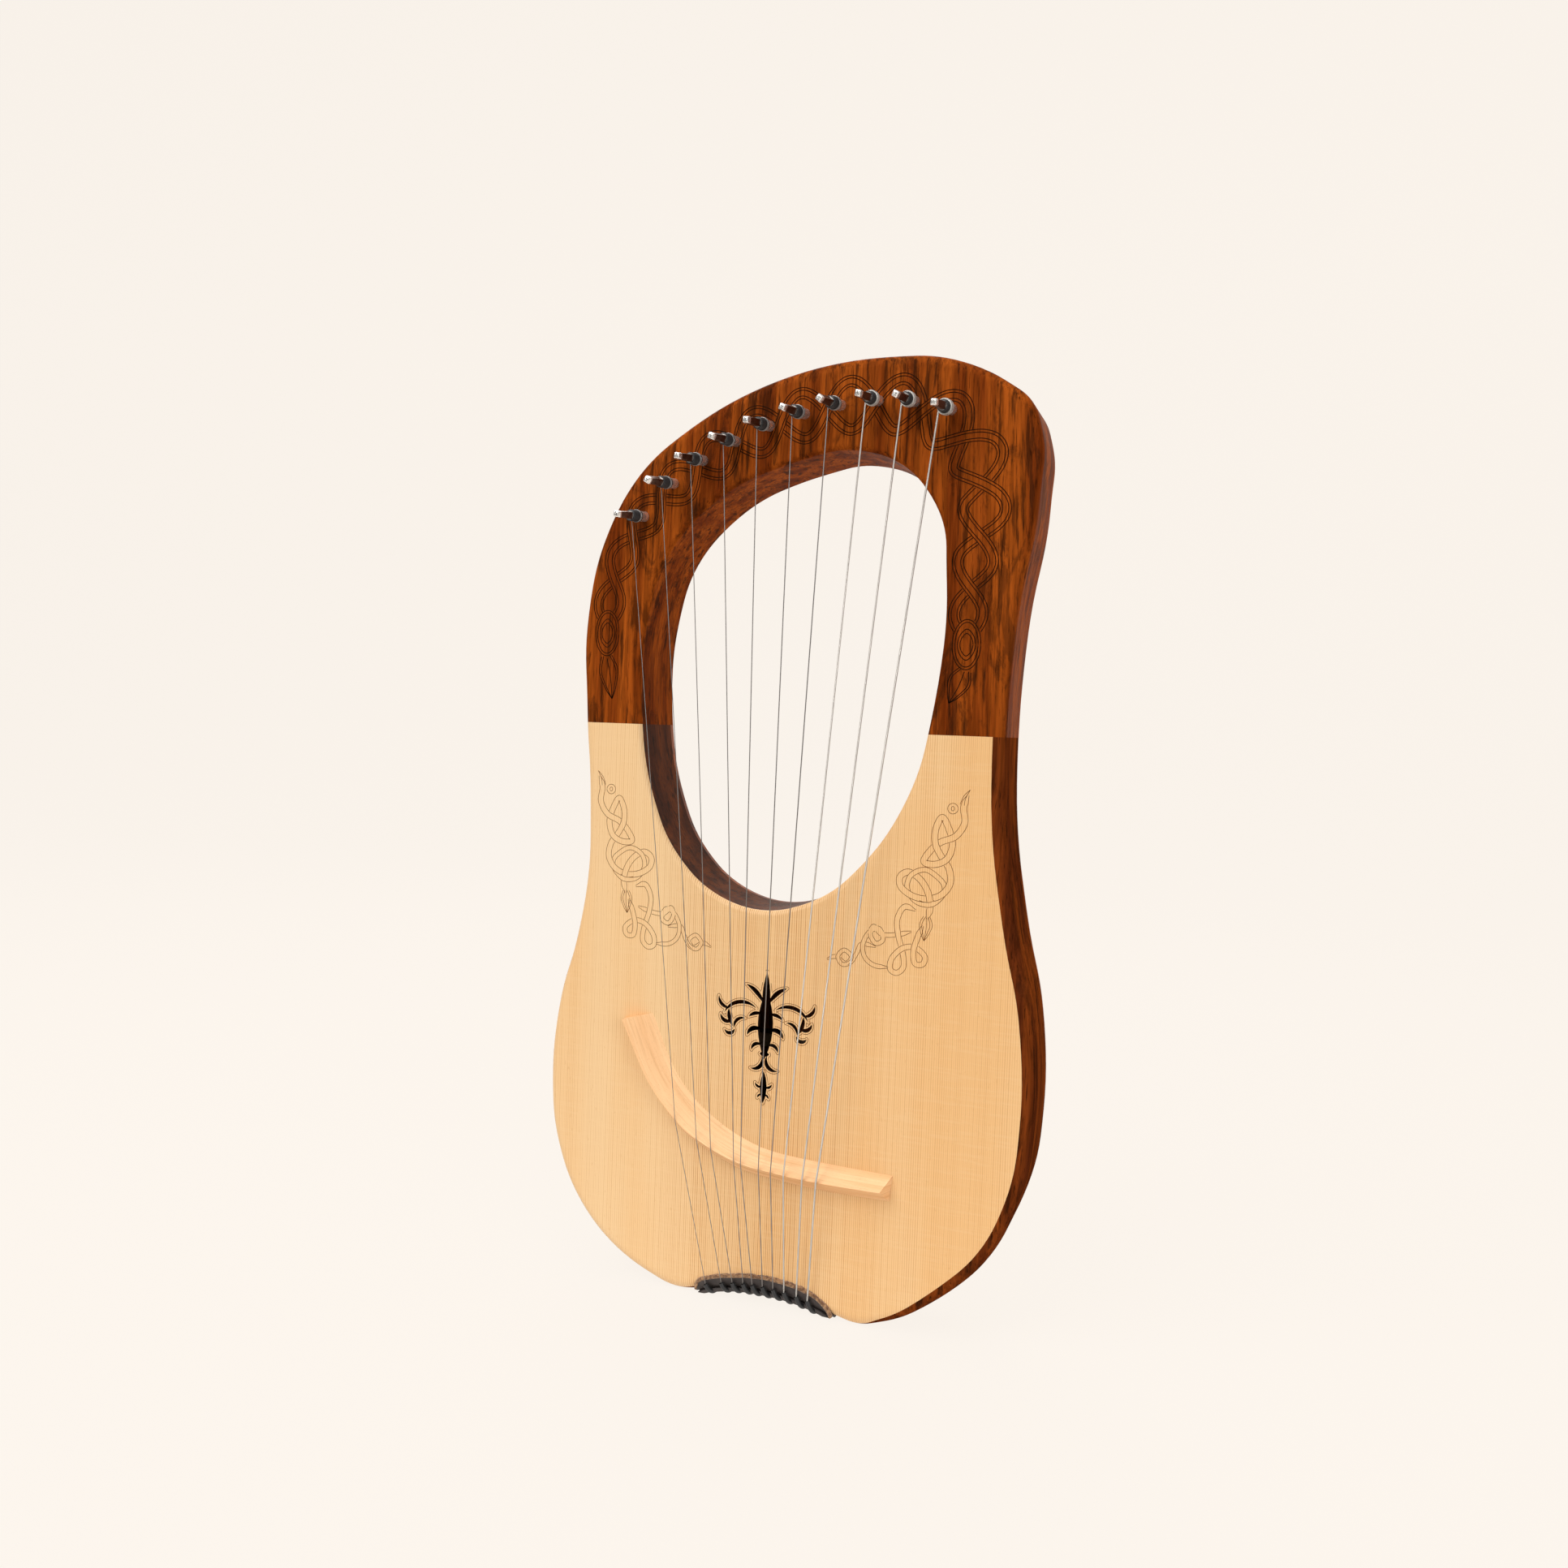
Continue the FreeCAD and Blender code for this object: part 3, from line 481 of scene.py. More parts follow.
YOKE_GUIDE = [(-117, 396), (-116.5, 410), (-112, 429), (-103.5, 447.5), (-90.5, 465.5),
              (-72, 481.5), (-48, 496.5), (-21, 509), (9, 517), (38, 520.5), (64, 518), (87, 508),
              (103, 490), (108.5, 468), (107, 446), (103.5, 424), (102.2, 404), (102, 390)]
LOOP_LENGTH = 29.0        # one over-and-under along the guide
LOOP_RISE = 11.5          # how far a ribbon swings to each side
RIBBON_HALF = 3.1         # half the width of a ribbon
RIBBON_RIM = 1.6          # the second line runs this far from the middle
YOKE_LINES = (-RIBBON_HALF, -RIBBON_RIM, RIBBON_RIM, RIBBON_HALF)
STRAND_STEP = 12          # every so manieth sample of the guide shapes a ribbon
OVAL_RADII = np.array([7.9, 13.6])
OVAL_BAND = 1.5           # between the oval ring's two lines
OVAL_GAP = 0.3            # left free between the ribbons and the oval
LEFT_OVAL, RIGHT_OVAL = np.array([-117.5, 392.5]), np.array([102.0, 388.0])
YOKE_LINE_WIDTH, BOARD_LINE_WIDTH = 0.52, 0.30

guide = smooth_line(YOKE_GUIDE)
guide_side = side_of(guide)
guide_run = np.linspace(0, 1, len(guide)) * np.hypot(*np.diff(guide, axis=0).T).sum()
loops = round(guide_run[-1] / LOOP_LENGTH)
swing = np.sin(np.pi * loops * guide_run / guide_run[-1])
# the ribbons swing wider over the broad shoulder and closer on the arms
breadth = np.interp(guide_run / guide_run[-1], [0, 0.12, 0.3, 0.6, 0.72, 0.86, 1],
                    [0.62, 0.72, 1.0, 1.22, 1.28, 0.9, 0.6])
strands = [guide + guide_side * (sign * LOOP_RISE * swing * breadth)[:, None] for sign in (1, -1)]
yoke_runs = woven_lines([strand[::STRAND_STEP] for strand in strands], [False] * 2,
                        [RIBBON_HALF] * 2, [YOKE_LINES] * 2, reach=34, clearance=0.05)
for oval in (LEFT_OVAL, RIGHT_OVAL):
    yoke_runs = outside_oval(yoke_runs, oval, OVAL_RADII + OVAL_GAP)


def oval_line(centre, radii, point=0.0):
    """A closed oval; point draws its two ends out into tips."""
    turn = np.linspace(0, 2 * np.pi, 73)
    narrow = 1 - point * np.abs(np.sin(turn)) ** 3
    return centre + np.column_stack([np.cos(turn) * radii[0] * narrow, np.sin(turn) * radii[1]])


def leaf_lines(base, tip, belly):
    """A leaf of two bowed double sides with a middle rib."""
    base, tip = np.array(base, float), np.array(tip, float)
    along = tip - base
    across = np.array([-along[1], along[0]]) / np.linalg.norm(along)
    lines = []
    for side in (-1, 1):
        for inset in (0.0, 1.3):
            lines.append(smooth_line([
                base + across * side * (belly * 0.55 - inset),
                base + along * 0.35 + across * side * (belly - inset),
                base + along * 0.75 + across * side * (belly * 0.55 - inset * 0.8), tip]))
    rib = [base + along * 0.05, base + along * 0.5 + across * belly * 0.12, tip]
    return lines + [smooth_line(rib)]


for oval, tip in ((LEFT_OVAL, (-113.0, 353.0)), (RIGHT_OVAL, (93.5, 356.0))):
    yoke_runs += [oval_line(oval, OVAL_RADII), oval_line(oval, OVAL_RADII - OVAL_BAND),
                  oval_line(oval, OVAL_RADII * 0.45, 0.35), oval_line(oval, OVAL_RADII * 0.62, 0.3)]
    yoke_runs += outside_oval(leaf_lines(oval - (0, OVAL_RADII[1]), tip, 6.2), oval, OVAL_RADII)

yoke_ink = engraving("yoke_engraving", (0.012, 0.005, 0.002, 1), (0.032, 0.010, 0.004, 1))
cut_lines("yoke_knotwork", yoke_runs, YOKE_LINE_WIDTH, yoke_ink)

# ---------------------------------------------------------------- drawn knots on the soundboard
# A pair of slender interlaced ribbons burnt into the spruce with a fine hot point, one the
# mirror image of the other, on both sides below the hand opening.
BOARD_MIDDLE = -6.64
BOARD_PROUD = 0.02
NECK = [(106.6, 306.5), (104.4, 299.5), (105.2, 291), (100.5, 283.5), (92.5, 279.8), (87, 275),
        (83.4, 268.4), (90, 267.4), (96.5, 271), (99, 279), (96.8, 287), (92.8, 293.4), (89.4, 287),
        (89.4, 279), (93, 272), (97.6, 265.5), (98.6, 257.5), (94, 250.8), (86, 247.8),
        (77.5, 249), (71, 253.4), (70.2, 259), (75, 262), (81.5, 258.6), (86.2, 252), (88, 244),
        (86.6, 236.5)]
RING = [(92.6, 259.5), (84.5, 264), (76.5, 260.4), (74.6, 253), (79.5, 246.2), (88, 244.8),
        (94.2, 249.8), (95.6, 255)]
TAIL = [(84.4, 233), (81.5, 225.8), (79.6, 218.4), (80.6, 211.6), (85, 211.4), (86, 216),
        (80, 220.4), (73, 219), (67.4, 213), (66.6, 207), (70.6, 205.2), (74.2, 209), (73.4, 217),
        (70.6, 226), (69.6, 235), (73.4, 242.4), (80, 241)]
SPRIG = [(78, 229), (69, 226.4), (61, 226), (56.2, 230), (54.4, 225.4), (57.6, 220.6),
         (61.8, 223), (59.4, 229), (54, 226.8), (50.4, 220), (51.4, 212.6), (57, 208.2),
         (65.4, 207.6)]
CURL = [(58, 218.6), (49.6, 219.4), (47, 214.4), (43.6, 208.6), (38.6, 206.8), (35.8, 211),
        (39.4, 215), (43.8, 211.6), (40.6, 207.6), (34.6, 210.8), (29.2, 208.8)]
BOARD_STRANDS = [NECK, RING, TAIL, SPRIG, CURL]
BOARD_CLOSED = [False, True, False, False, False]
BOARD_HALF = [1.75, 1.35, 1.5, 1.25, 1.15]

knot_runs = woven_lines(BOARD_STRANDS, BOARD_CLOSED, BOARD_HALF,
                        [(-half, half) for half in BOARD_HALF], reach=16, clearance=0.02,
                        fade_samples=12)
eye = np.array([98.4, 298.6])
knot_runs += [oval_line(eye, (2.9, 2.9)), oval_line(eye, (0.9, 1.2)),
              smooth_line([(104.6, 300.5), (105.2, 304.5), (107.6, 309.4)]),
              smooth_line([(102.2, 301), (104.2, 305.8), (107.6, 309.4)])]
knot_runs += leaf_lines((86.4, 238), (85.2, 224.4), 3.6)
mirrored = [np.column_stack([2 * BOARD_MIDDLE - run[:, 0], run[:, 1]])[::-1] for run in knot_runs]
burnt = engraving("burnt_line", (0.11, 0.040, 0.012, 1), (0.24, 0.09, 0.026, 1))
cut_lines("board_knots", knot_runs + mirrored, BOARD_LINE_WIDTH, burnt, proud=BOARD_PROUD)

# ---------------------------------------------------------------- rose
# The rose is sawn clean through the soundboard. A fine burnt line runs round it, a millimetre
# off the cut edge, and the cut edges themselves are dark from the saw.
ROSE_MIDDLE = np.array([BOARD_MIDDLE, 172.0])
ROSE_CENTRE = [((0, 26), (0, -6), 2.5, -2.5), ((0, 15), (0, -25.5), 4.7, -4.7),
               ((-3.0, -22.4), (3.0, -22.4), 1.6, -1.6), ((0, -32.5), (0, -51.5), 2.1, -2.1)]
ROSE_SIDES = [
    ((1.6, 7.0), (12.7, 17.4), 2.9, 0.2), ((5.9, 3.8), (26.2, -0.9), 6.2, 3.9),
    ((22.4, 2.4), (29.8, 9.0), -3.4, -1.3),
    ((23.2, 2.2), (20.4, -8.4), 2.2, -0.2), ((20.6, -4.6), (28.4, -1.6), -3.8, -1.5),
    ((19.2, -9.6), (25.6, -10.6), -3.6, -1.4), ((19.6, -9.4), (12.6, -2.8), -3.5, -1.6),
    ((2.0, 0.8), (10.6, -1.6), 2.4, 0.3), ((2.0, -9.0), (11.2, -12.4), 4.2, 1.4),
    ((1.5, -17.6), (8.2, -20.8), 3.4, 1.3),
    ((1.8, -23.2), (8.6, -31.4), -4.9, -2.5), ((0.6, -41.6), (5.2, -39.6), -2.0, -0.5),
    ((0.6, -46.2), (3.6, -48.6), 1.3, 0.1),
]
BURNT_OFFSET = 0.95        # from the cut edge to the burnt line
NEIGHBOUR_REACH = 30       # leaves further apart than this never meet
THREAD_REACH, THREAD_STEP = 0.55, 0.16    # longest and shortest step along a threaded line


def arc_points(start, end, rise, count=48):
    """Points of the arc from start to end that rises by rise to the left of its chord."""
    chord = end - start
    length = np.linalg.norm(chord)
    left = np.array([-chord[1], chord[0]]) / length
    half = np.arctan2(2 * abs(rise), length)
    radius = length / 2 / np.sin(2 * half)
    turn = np.linspace(-2 * half, 2 * half, count)
    along = radius * np.sin(turn) + length / 2
    up = (radius * np.cos(turn) - radius * np.cos(2 * half)) * np.sign(rise)
    return start + np.outer(along, chord / length) + np.outer(up, left)


def leaf_outline(tip, other, rise, fall):
    tip, other = np.array(tip, float), np.array(other, float)
    return np.vstack([arc_points(tip, other, rise), arc_points(tip, other, fall)[::-1]])


rose_leaves = [leaf_outline(*leaf) for leaf in ROSE_CENTRE + ROSE_SIDES]
rose_leaves += [leaf * (-1, 1) for leaf in rose_leaves[len(ROSE_CENTRE):]]


def inside_leaf(points, leaf):
    """True where a point lies inside a closed outline."""
    a, b = leaf, np.roll(leaf, -1, axis=0)
    px, pz = points[:, None, 0], points[:, None, 1]
    rising = (a[None, :, 1] > pz) != (b[None, :, 1] > pz)
    span = np.where(np.abs(b[:, 1] - a[:, 1]) < 1e-9, 1e-9, b[:, 1] - a[:, 1])
    edge = a[None, :, 0] + (pz - a[None, :, 1]) * ((b[:, 0] - a[:, 0]) / span)[None]
    return (rising & (px < edge)).sum(axis=1) % 2 == 1


def distance_to(points, leaf):
    a, b = leaf, np.roll(leaf, -1, axis=0)
    along = b - a
    share = ((points[:, None] - a) * along).sum(axis=2) / np.maximum((along ** 2).sum(axis=1), 1e-12)
    nearest = a + np.clip(share, 0, 1)[..., None] * along
    return np.linalg.norm(points[:, None] - nearest, axis=2).min(axis=1)


def burnt_outline(leaf, others):
    """The line offset outwards from one leaf, left out where it would run inside another's."""
    turn = np.linspace(0, 2 * np.pi, 25)
    ring = np.column_stack([np.cos(turn), np.sin(turn)]) * BURNT_OFFSET
    cloud = (leaf[:, None] + ring).reshape(-1, 2)
    keep = (distance_to(cloud, leaf) > BURNT_OFFSET * 0.985) & ~inside_leaf(cloud, leaf)
    for other in others:
        test = keep & (np.abs(cloud - other.mean(axis=0)).max(axis=1) < NEIGHBOUR_REACH)
        clear = distance_to(cloud[test], other) > BURNT_OFFSET * 0.97
        keep[test] = clear & ~inside_leaf(cloud[test], other)
    return cloud[keep]


def ordered_runs(cloud):
    """Thread loose points into lines, always on to the nearest one left."""
    left = list(cloud)
    runs = []
    while left:
        for way in (0, 1):
            if way == 0:
                run = [left.pop()]
            else:
                run.reverse()
            while left:
                gaps = np.linalg.norm(np.array(left) - run[-1], axis=1)
                best = int(gaps.argmin())
                if gaps[best] > THREAD_REACH:
                    break
                step = left.pop(best)
                if gaps[best] > THREAD_STEP:
                    run.append(step)
        if len(run) > 3:
            runs.append(np.array(run))
    return runs


rose_cloud = np.vstack([burnt_outline(leaf, rose_leaves[:number] + rose_leaves[number + 1:])
                        for number, leaf in enumerate(rose_leaves)])
rose_runs = [run + ROSE_MIDDLE for run in ordered_runs(rose_cloud)]
rose_ink = engraving("rose_line", (0.10, 0.034, 0.010, 1), (0.22, 0.080, 0.022, 1))
cut_lines("rose_outline", rose_runs, BOARD_LINE_WIDTH, rose_ink, proud=BOARD_PROUD)

# ---------------------------------------------------------------- bridge
# A bar of beech, cut with a knife to a three-cornered section along one long curve. Its ridge
# is softened by hand and carries the strings; it is held only by their pressure.
BRIDGE_UPPER = [(-79, 165.5), (-64.5, 135), (-48.5, 116.5), (-31, 104.4), (-14, 97), (2, 93.2),
                (24, 91.8), (48, 91), (73, 90.5)]
BRIDGE_RIDGE = [(-94.9, 161.8), (-76.6, 127), (-57.4, 105.7), (-43.3, 96.5), (-19.4, 87.3),
                (3.6, 84.3), (31.2, 82.8), (68.2, 83)]
BRIDGE_LOWER = [(-97.6, 160.6), (-80.5, 124.5), (-61.8, 101.6), (-47.5, 91.6), (-21.5, 80.5),
                (3, 77), (31, 75.4), (71.3, 75.5)]
BRIDGE_RISE = 9.95         # the ridge's height over the board
BRIDGE_STATIONS = 180
BRIDGE_END_PULL = 0.03     # how far the end faces' edges are rounded in
CHIP_SIZE = 0.22           # unevenness of the ridge left by the knife
np.random.seed(4)


def even_samples(points, count):
    line = smooth_line(points, step=0.5)
    at = np.linspace(0, len(line) - 1, count)
    return np.column_stack([np.interp(at, np.arange(len(line)), line[:, axis]) for axis in (0, 1)])


def slow_wobble(count, size, reach):
    """Gentle unevenness of hand work along a length."""
    knots = np.random.uniform(-1, 1, max(count // reach, 2) + 2)
    return np.interp(np.arange(count), np.linspace(0, count, len(knots)), knots) * size


def lofted_piece(name, vertices, size, material, body, crease=None):
    """A piece skinned over rings of size points each and closed at both ends. It is shaded
    smooth, but for edges sharper than the crease in degrees."""
    rings = len(vertices) // size
    faces = []
    for ring in range(rings - 1):
        for n in range(size):
            a, b = ring * size + n, ring * size + (n + 1) % size
            faces.append((a, a + size, b + size, b))
    faces.append(tuple(range(size)))
    faces.append(tuple((rings - 1) * size + n for n in reversed(range(size))))
    piece = new_piece(name, vertices, faces, material, body)
    mesh = bmesh.new()
    mesh.from_mesh(piece.data)
    bmesh.ops.recalc_face_normals(mesh, faces=mesh.faces)
    mesh.to_mesh(piece.data)
    mesh.free()
    piece.data.shade_smooth()
    if crease is not None:
        piece.data.set_sharp_from_angle(angle=math.radians(crease))
    return piece


def beech():
    material, tree, shader, place = new_material("beech_bridge")
    along = add_node(tree, "Attribute", {"attribute_name": "grain_place"}).outputs["Vector"]
    fibres = noise(tree, along, (26, 620, 620), 3.0, 0.6)
    bands = noise(tree, along, (9, 150, 150), 2.0, 0.5, 0.6)
    flecks = noise(tree, along, (420, 3200, 3200), 2.0)
    colour = blend_colour(tree, remap(tree, bands, 0.35, 0.65), (0.96, 0.60, 0.31, 1),
                          (0.87, 0.49, 0.225, 1))
    colour = lay_over(tree, remap(tree, fibres, 0.45, 0.75), 0.4, colour, (0.60, 0.28, 0.10, 1))
    colour = lay_over(tree, remap(tree, flecks, 0.60, 0.70), 0.35, colour, (0.50, 0.22, 0.08, 1))
    surface(tree, shader, colour, remap(tree, fibres, 0.3, 0.7, 0.46, 0.62, False),
            bump(tree, fibres, 0.3, 0.0002))
    return material


def bridge_section(high, top, low, chip):
    """The bar's outline at one station: hollow upper slope, worn ridge, straight lower slope."""
    section = [high + (top - high) * share + (0, drop, 0)
               for share, drop in ((0.0, 0.0), (0.03, 0.25), (0.33, 0.12), (0.66, 0.05), (0.93, 0.06))]
    section += [top + (high - top) * 0.045 + (0, 0.12, 0), top + (0, 0.18, 0),
                top + (low - top) * (0.06 + 0.05 * abs(chip)) + (0, 0.06, 0),
                top + (low - top) * (0.12 + 0.05 * (0.55 + chip))]
    return section + [top + (low - top) * share for share in (0.45, 0.8, 0.97)] + [low]


def bridge_piece():
    upper, ridge, lower = (even_samples(points, BRIDGE_STATIONS)
                           for points in (BRIDGE_UPPER, BRIDGE_RIDGE, BRIDGE_LOWER))
    face = FACE / MM
    chips = slow_wobble(BRIDGE_STATIONS, CHIP_SIZE, 3)
    vertices, places = [], []
    run = np.concatenate([[0], np.cumsum(np.hypot(*np.diff(ridge, axis=0).T))])
    for k in range(BRIDGE_STATIONS):
        end_fall = 0.5 * (max(0, 1 - k / 2) + max(0, 1 - (BRIDGE_STATIONS - 1 - k) / 2))
        high, top, low = (np.array([line[k, 0], face - rise, line[k, 1]])
                          for line, rise in ((upper, 0), (ridge, BRIDGE_RISE), (lower, 0)))
        section = bridge_section(high, top, low, chips[k])
        middle = (high + low + top) / 3
        girth = np.concatenate([[0], np.cumsum(np.linalg.norm(np.diff(section, axis=0), axis=1))])
        for point, around in zip(section, girth):
            vertices.append((point + (middle - point) * (BRIDGE_END_PULL * end_fall)) * MM)
            places.append((run[k] * MM, around * MM, 0.0))
    piece = lofted_piece("bridge_bar", vertices, len(section), beech(), "lyre_body", 32)
    attribute = piece.data.attributes.new("grain_place", "FLOAT_VECTOR", "POINT")
    attribute.data.foreach_set("vector", np.array(places, np.float32).ravel())
    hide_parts("bridge")


bridge_piece()

# ---------------------------------------------------------------- tuning pins
# Nickelled steel pins, one for each string. Each has a bright round foot, a black ribbed grip
# that the string is wound on, and a square head, browned but for its bright worn tip.
PIN_RADIUS, PIN_SEAT, PIN_REACH = 3.0, 22.0, 32.0
BAND_START, BAND_END, BAND_RADIUS = 6.5, 16.5, 3.7
HEAD_START, HEAD_HALF, HEAD_TIP_HALF = 16.5, 2.1, 1.78
HEAD_FULL, HEAD_END = HEAD_START + 0.9, 28.3
HEAD_STEPS = 8
HEAD_TURNS = [12, 34, 8, 20, 3, 26, 41, 15, 30, 5]
SQUARENESS = 9.0           # power of the rounded square; more gives sharper corners
RIB_COUNT, RIB_STEPS = 9, 6
ROUND, TIP_ROUNDS, SQUARE = -math.inf, 31.7, math.inf    # a pin's rings are square up to here

# profiles along a pin: place, radius or half width
FOOT_PROFILE = [(-PIN_SEAT, PIN_RADIUS - 0.4), (-PIN_SEAT + 0.5, PIN_RADIUS), (-0.2, PIN_RADIUS),
                (BAND_START - 0.45, PIN_RADIUS), (BAND_START - 0.12, PIN_RADIUS - 0.1),
                (BAND_START, PIN_RADIUS - 0.4), (HEAD_START + 0.3, PIN_RADIUS - 0.45)]
HEAD_PROFILE = [(HEAD_START - 0.6, HEAD_HALF * 0.9), (HEAD_START + 0.2, HEAD_HALF * 0.98)]
for step in range(HEAD_STEPS + 1):
    share = step / HEAD_STEPS
    HEAD_PROFILE.append((HEAD_FULL + (HEAD_END - HEAD_FULL) * share,
                         HEAD_HALF + (HEAD_TIP_HALF - HEAD_HALF) * share))
TIP_PROFILE = [(28.0, HEAD_TIP_HALF - 0.02), (28.35, HEAD_TIP_HALF + 0.03),
               (30.9, HEAD_TIP_HALF - 0.03), (31.6, HEAD_TIP_HALF * 0.80),
               (PIN_REACH - 0.04, HEAD_TIP_HALF * 0.60), (PIN_REACH - 0.06, 0.50),
               (PIN_REACH - 0.8, 0.12)]
GRIP_PROFILE = []
for step in range(RIB_COUNT * RIB_STEPS + 1):
    share = step / (RIB_COUNT * RIB_STEPS)
    wave = abs(math.sin(math.pi * RIB_COUNT * share)) ** 0.6
    shoulder = min(1.0, min(share, 1 - share) * 14)
    GRIP_PROFILE.append((BAND_START + (BAND_END - BAND_START) * share,
                         PIN_RADIUS - 0.1 + 0.25 * shoulder + 0.2 * wave))


def metal(name, base, rough, scratch_scale, scratch, metallic=1.0):
    material, tree, shader, place = new_material(name)
    scratches = noise(tree, place, scratch_scale, 3.0, 0.6)
    worn = remap(tree, noise(tree, place, 260.0, 3.0), 0.40, 0.70)
    tint = [part * 0.72 for part in base[:3]] + [1]
    surface(tree, shader, blend_colour(tree, worn, base, tint),
            remap(tree, scratches, 0.3, 0.7, rough, rough + scratch, False),
            bump(tree, scratches, 0.04, 0.00003), Metallic=metallic)
    return material


def clouded(name, scale, colours, rough, relief, **others):
    """A finish whose colour, roughness and fine relief all follow one soft noise."""
    material, tree, shader, place = new_material(name)
    cloud = noise(tree, place, scale)
    surface(tree, shader, blend_colour(tree, cloud, *colours),
            remap(tree, cloud, 0.3, 0.7, *rough, False), bump(tree, cloud, *relief), **others)
    return material, tree, shader, place


nickel = metal("nickel", (0.97, 0.94, 0.90, 1), 0.20, (700, 700, 700), 0.14, 0.88)
browned = metal("browned_head", (0.15, 0.092, 0.066, 1), 0.25, (900, 300, 900), 0.20)
grip = clouded("black_grip", 900.0, ((0.008, 0.008, 0.009, 1), (0.026, 0.025, 0.026, 1)),
               (0.42, 0.62), (0.25, 0.0001))[0]


def pin_frame(joint):
    """Seat, direction along the pin and two directions across it, turned as the head stands."""
    seat = Vector(joint["pos_m"])
    along = Vector(joint["axis"]).normalized()
    across = along.cross(Vector((0, 0, 1))).normalized()
    if across.x > 0:
        across = -across
    return seat, along, across, across.cross(along)


def square_shape(angle):
    """Outline of a square with slightly rounded corners, as a factor on its half width."""
    c, s = abs(math.cos(angle)), abs(math.sin(angle))
    return 1.0 / (c ** SQUARENESS + s ** SQUARENESS) ** (1 / SQUARENESS)


def lathe(profile, sides, joint, square_to=ROUND, turn=0.0):
    """Rings of points round a pin, square rather than round up to a place along it."""
    seat, along, across, other = pin_frame(joint)
    vertices = []
    for place, radius in profile:
        for n in range(sides):
            angle = 2 * math.pi * n / sides + turn
            factor = square_shape(angle - turn) if place < square_to else 1.0
            spoke = (across * math.cos(angle) + other * math.sin(angle)) * radius * factor
            vertices.append(seat + (along * place + spoke) * MM)
    return vertices


def tuning_pin(number, joint):
    body = "pin_%d" % number
    turn = math.radians(HEAD_TURNS[number - 1])
    piece = lofted_piece("pin_foot_%d" % number, lathe(FOOT_PROFILE, 40, joint), 40, nickel, body,
                         35)
    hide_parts("tuning_pin_%d" % number)
    lofted_piece("pin_head_%d" % number, lathe(HEAD_PROFILE, 48, joint, SQUARE, turn), 48,
                 browned, body, 38)
    lofted_piece("pin_tip_%d" % number, lathe(TIP_PROFILE, 48, joint, TIP_ROUNDS, turn), 48,
                 nickel, body, 35)
    band = lofted_piece("pin_grip_%d" % number, lathe(GRIP_PROFILE, 40, joint), 40, grip, body,
                        60)
    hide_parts("pin_band_%d" % number)


for number, joint in enumerate(frame["joints"], start=1):
    tuning_pin(number, joint)

# ---------------------------------------------------------------- strings
# Ten taut strings: seven of plain steel and three basses wound with fine wire. Each is wound
# in a few turns on its pin's grip, crosses the bridge and goes down into its sleeve.
PLAIN_STRINGS = 7
STRING_LEAVES = 7.7        # place along the pin where the string comes up to it
COIL_TURNS, COIL_STEPS, COIL_SIDES = 4, 30, 10
COIL_LEAD = 1.2            # radians over which the string settles on to the grip
WRAP_PITCH = 0.00028       # of the fine wire round a bass string, in metres


def string_width(number):
    if number < PLAIN_STRINGS:
        return 0.40 + 0.04 * number
    return 0.90 + 0.10 * (number - PLAIN_STRINGS)


def string_metal(name, base, rough, wound):
    shade = [part * 0.7 for part in base[:3]] + [1]
    material, tree, shader, place = clouded(name, (300, 300, 40), (base, shade),
                                            (rough, rough + 0.12), (0.1, 0.00005), Metallic=0.9)
    if wound:
        up = add_node(tree, "SeparateXYZ", None, Vector=place).outputs["Z"]
        wraps = maths(tree, "SINE", maths(tree, "MULTIPLY", up, 2 * math.pi / WRAP_PITCH))
        tree.links.new(bump(tree, wraps, 0.6, 0.00008), shader.inputs["Normal"])
    return material


plain_steel = string_metal("string_plain", (0.34, 0.315, 0.30, 1), 0.30, False)
wound_steel = string_metal("string_wound", (0.74, 0.71, 0.66, 1), 0.34, True)


def tube_points(path, radius, sides):
    """Rings of points of a round tube along a list of places."""
    vertices = []
    for k, point in enumerate(path):
        ahead = (path[min(k + 1, len(path) - 1)] - path[max(k - 1, 0)]).normalized()
        if k == 0:
            side = ahead.orthogonal().normalized()
        side = (side - ahead * side.dot(ahead)).normalized()
        other = ahead.cross(side)
        for n in range(sides):
            angle = 2 * math.pi * n / sides
            vertices.append(point + (side * math.cos(angle) + other * math.sin(angle)) * radius)
    return vertices


def string_coil(number, joint, material):
    """Turns of string on the grip, from where the string comes up to it to its tucked-in end."""
    seat, along, across, other = pin_frame(joint)
    width = string_width(number - 1)
    radius = PIN_RADIUS + 0.32 + width / 2
    steps = COIL_STEPS * COIL_TURNS
    path = []
    for k in range(steps + 1):
        share = k / steps
        angle = share * COIL_TURNS * 2 * math.pi
        lead = min(1.0, angle / COIL_LEAD)
        place = STRING_LEAVES + (0.6 + width * 0.5) * lead + width * 1.02 * COIL_TURNS * share
        reach = radius + (BAND_RADIUS + 0.4 + width / 2 - radius) * (1 - lead)
        spoke = (across * math.cos(angle) - other * math.sin(angle)) * reach
        path.append(seat + (along * place + spoke) * MM)
    piece = lofted_piece("coil_%d" % number, tube_points(path, width / 2 * MM, COIL_SIDES),
                         COIL_SIDES, material, "pin_%d" % number)
    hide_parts("string_coil_%d" % number)


for number, joint in enumerate(frame["joints"], start=1):
    steel = plain_steel if number <= PLAIN_STRINGS else wound_steel
    finish_node("string_%d" % number, steel)
    string_coil(number, joint, steel)

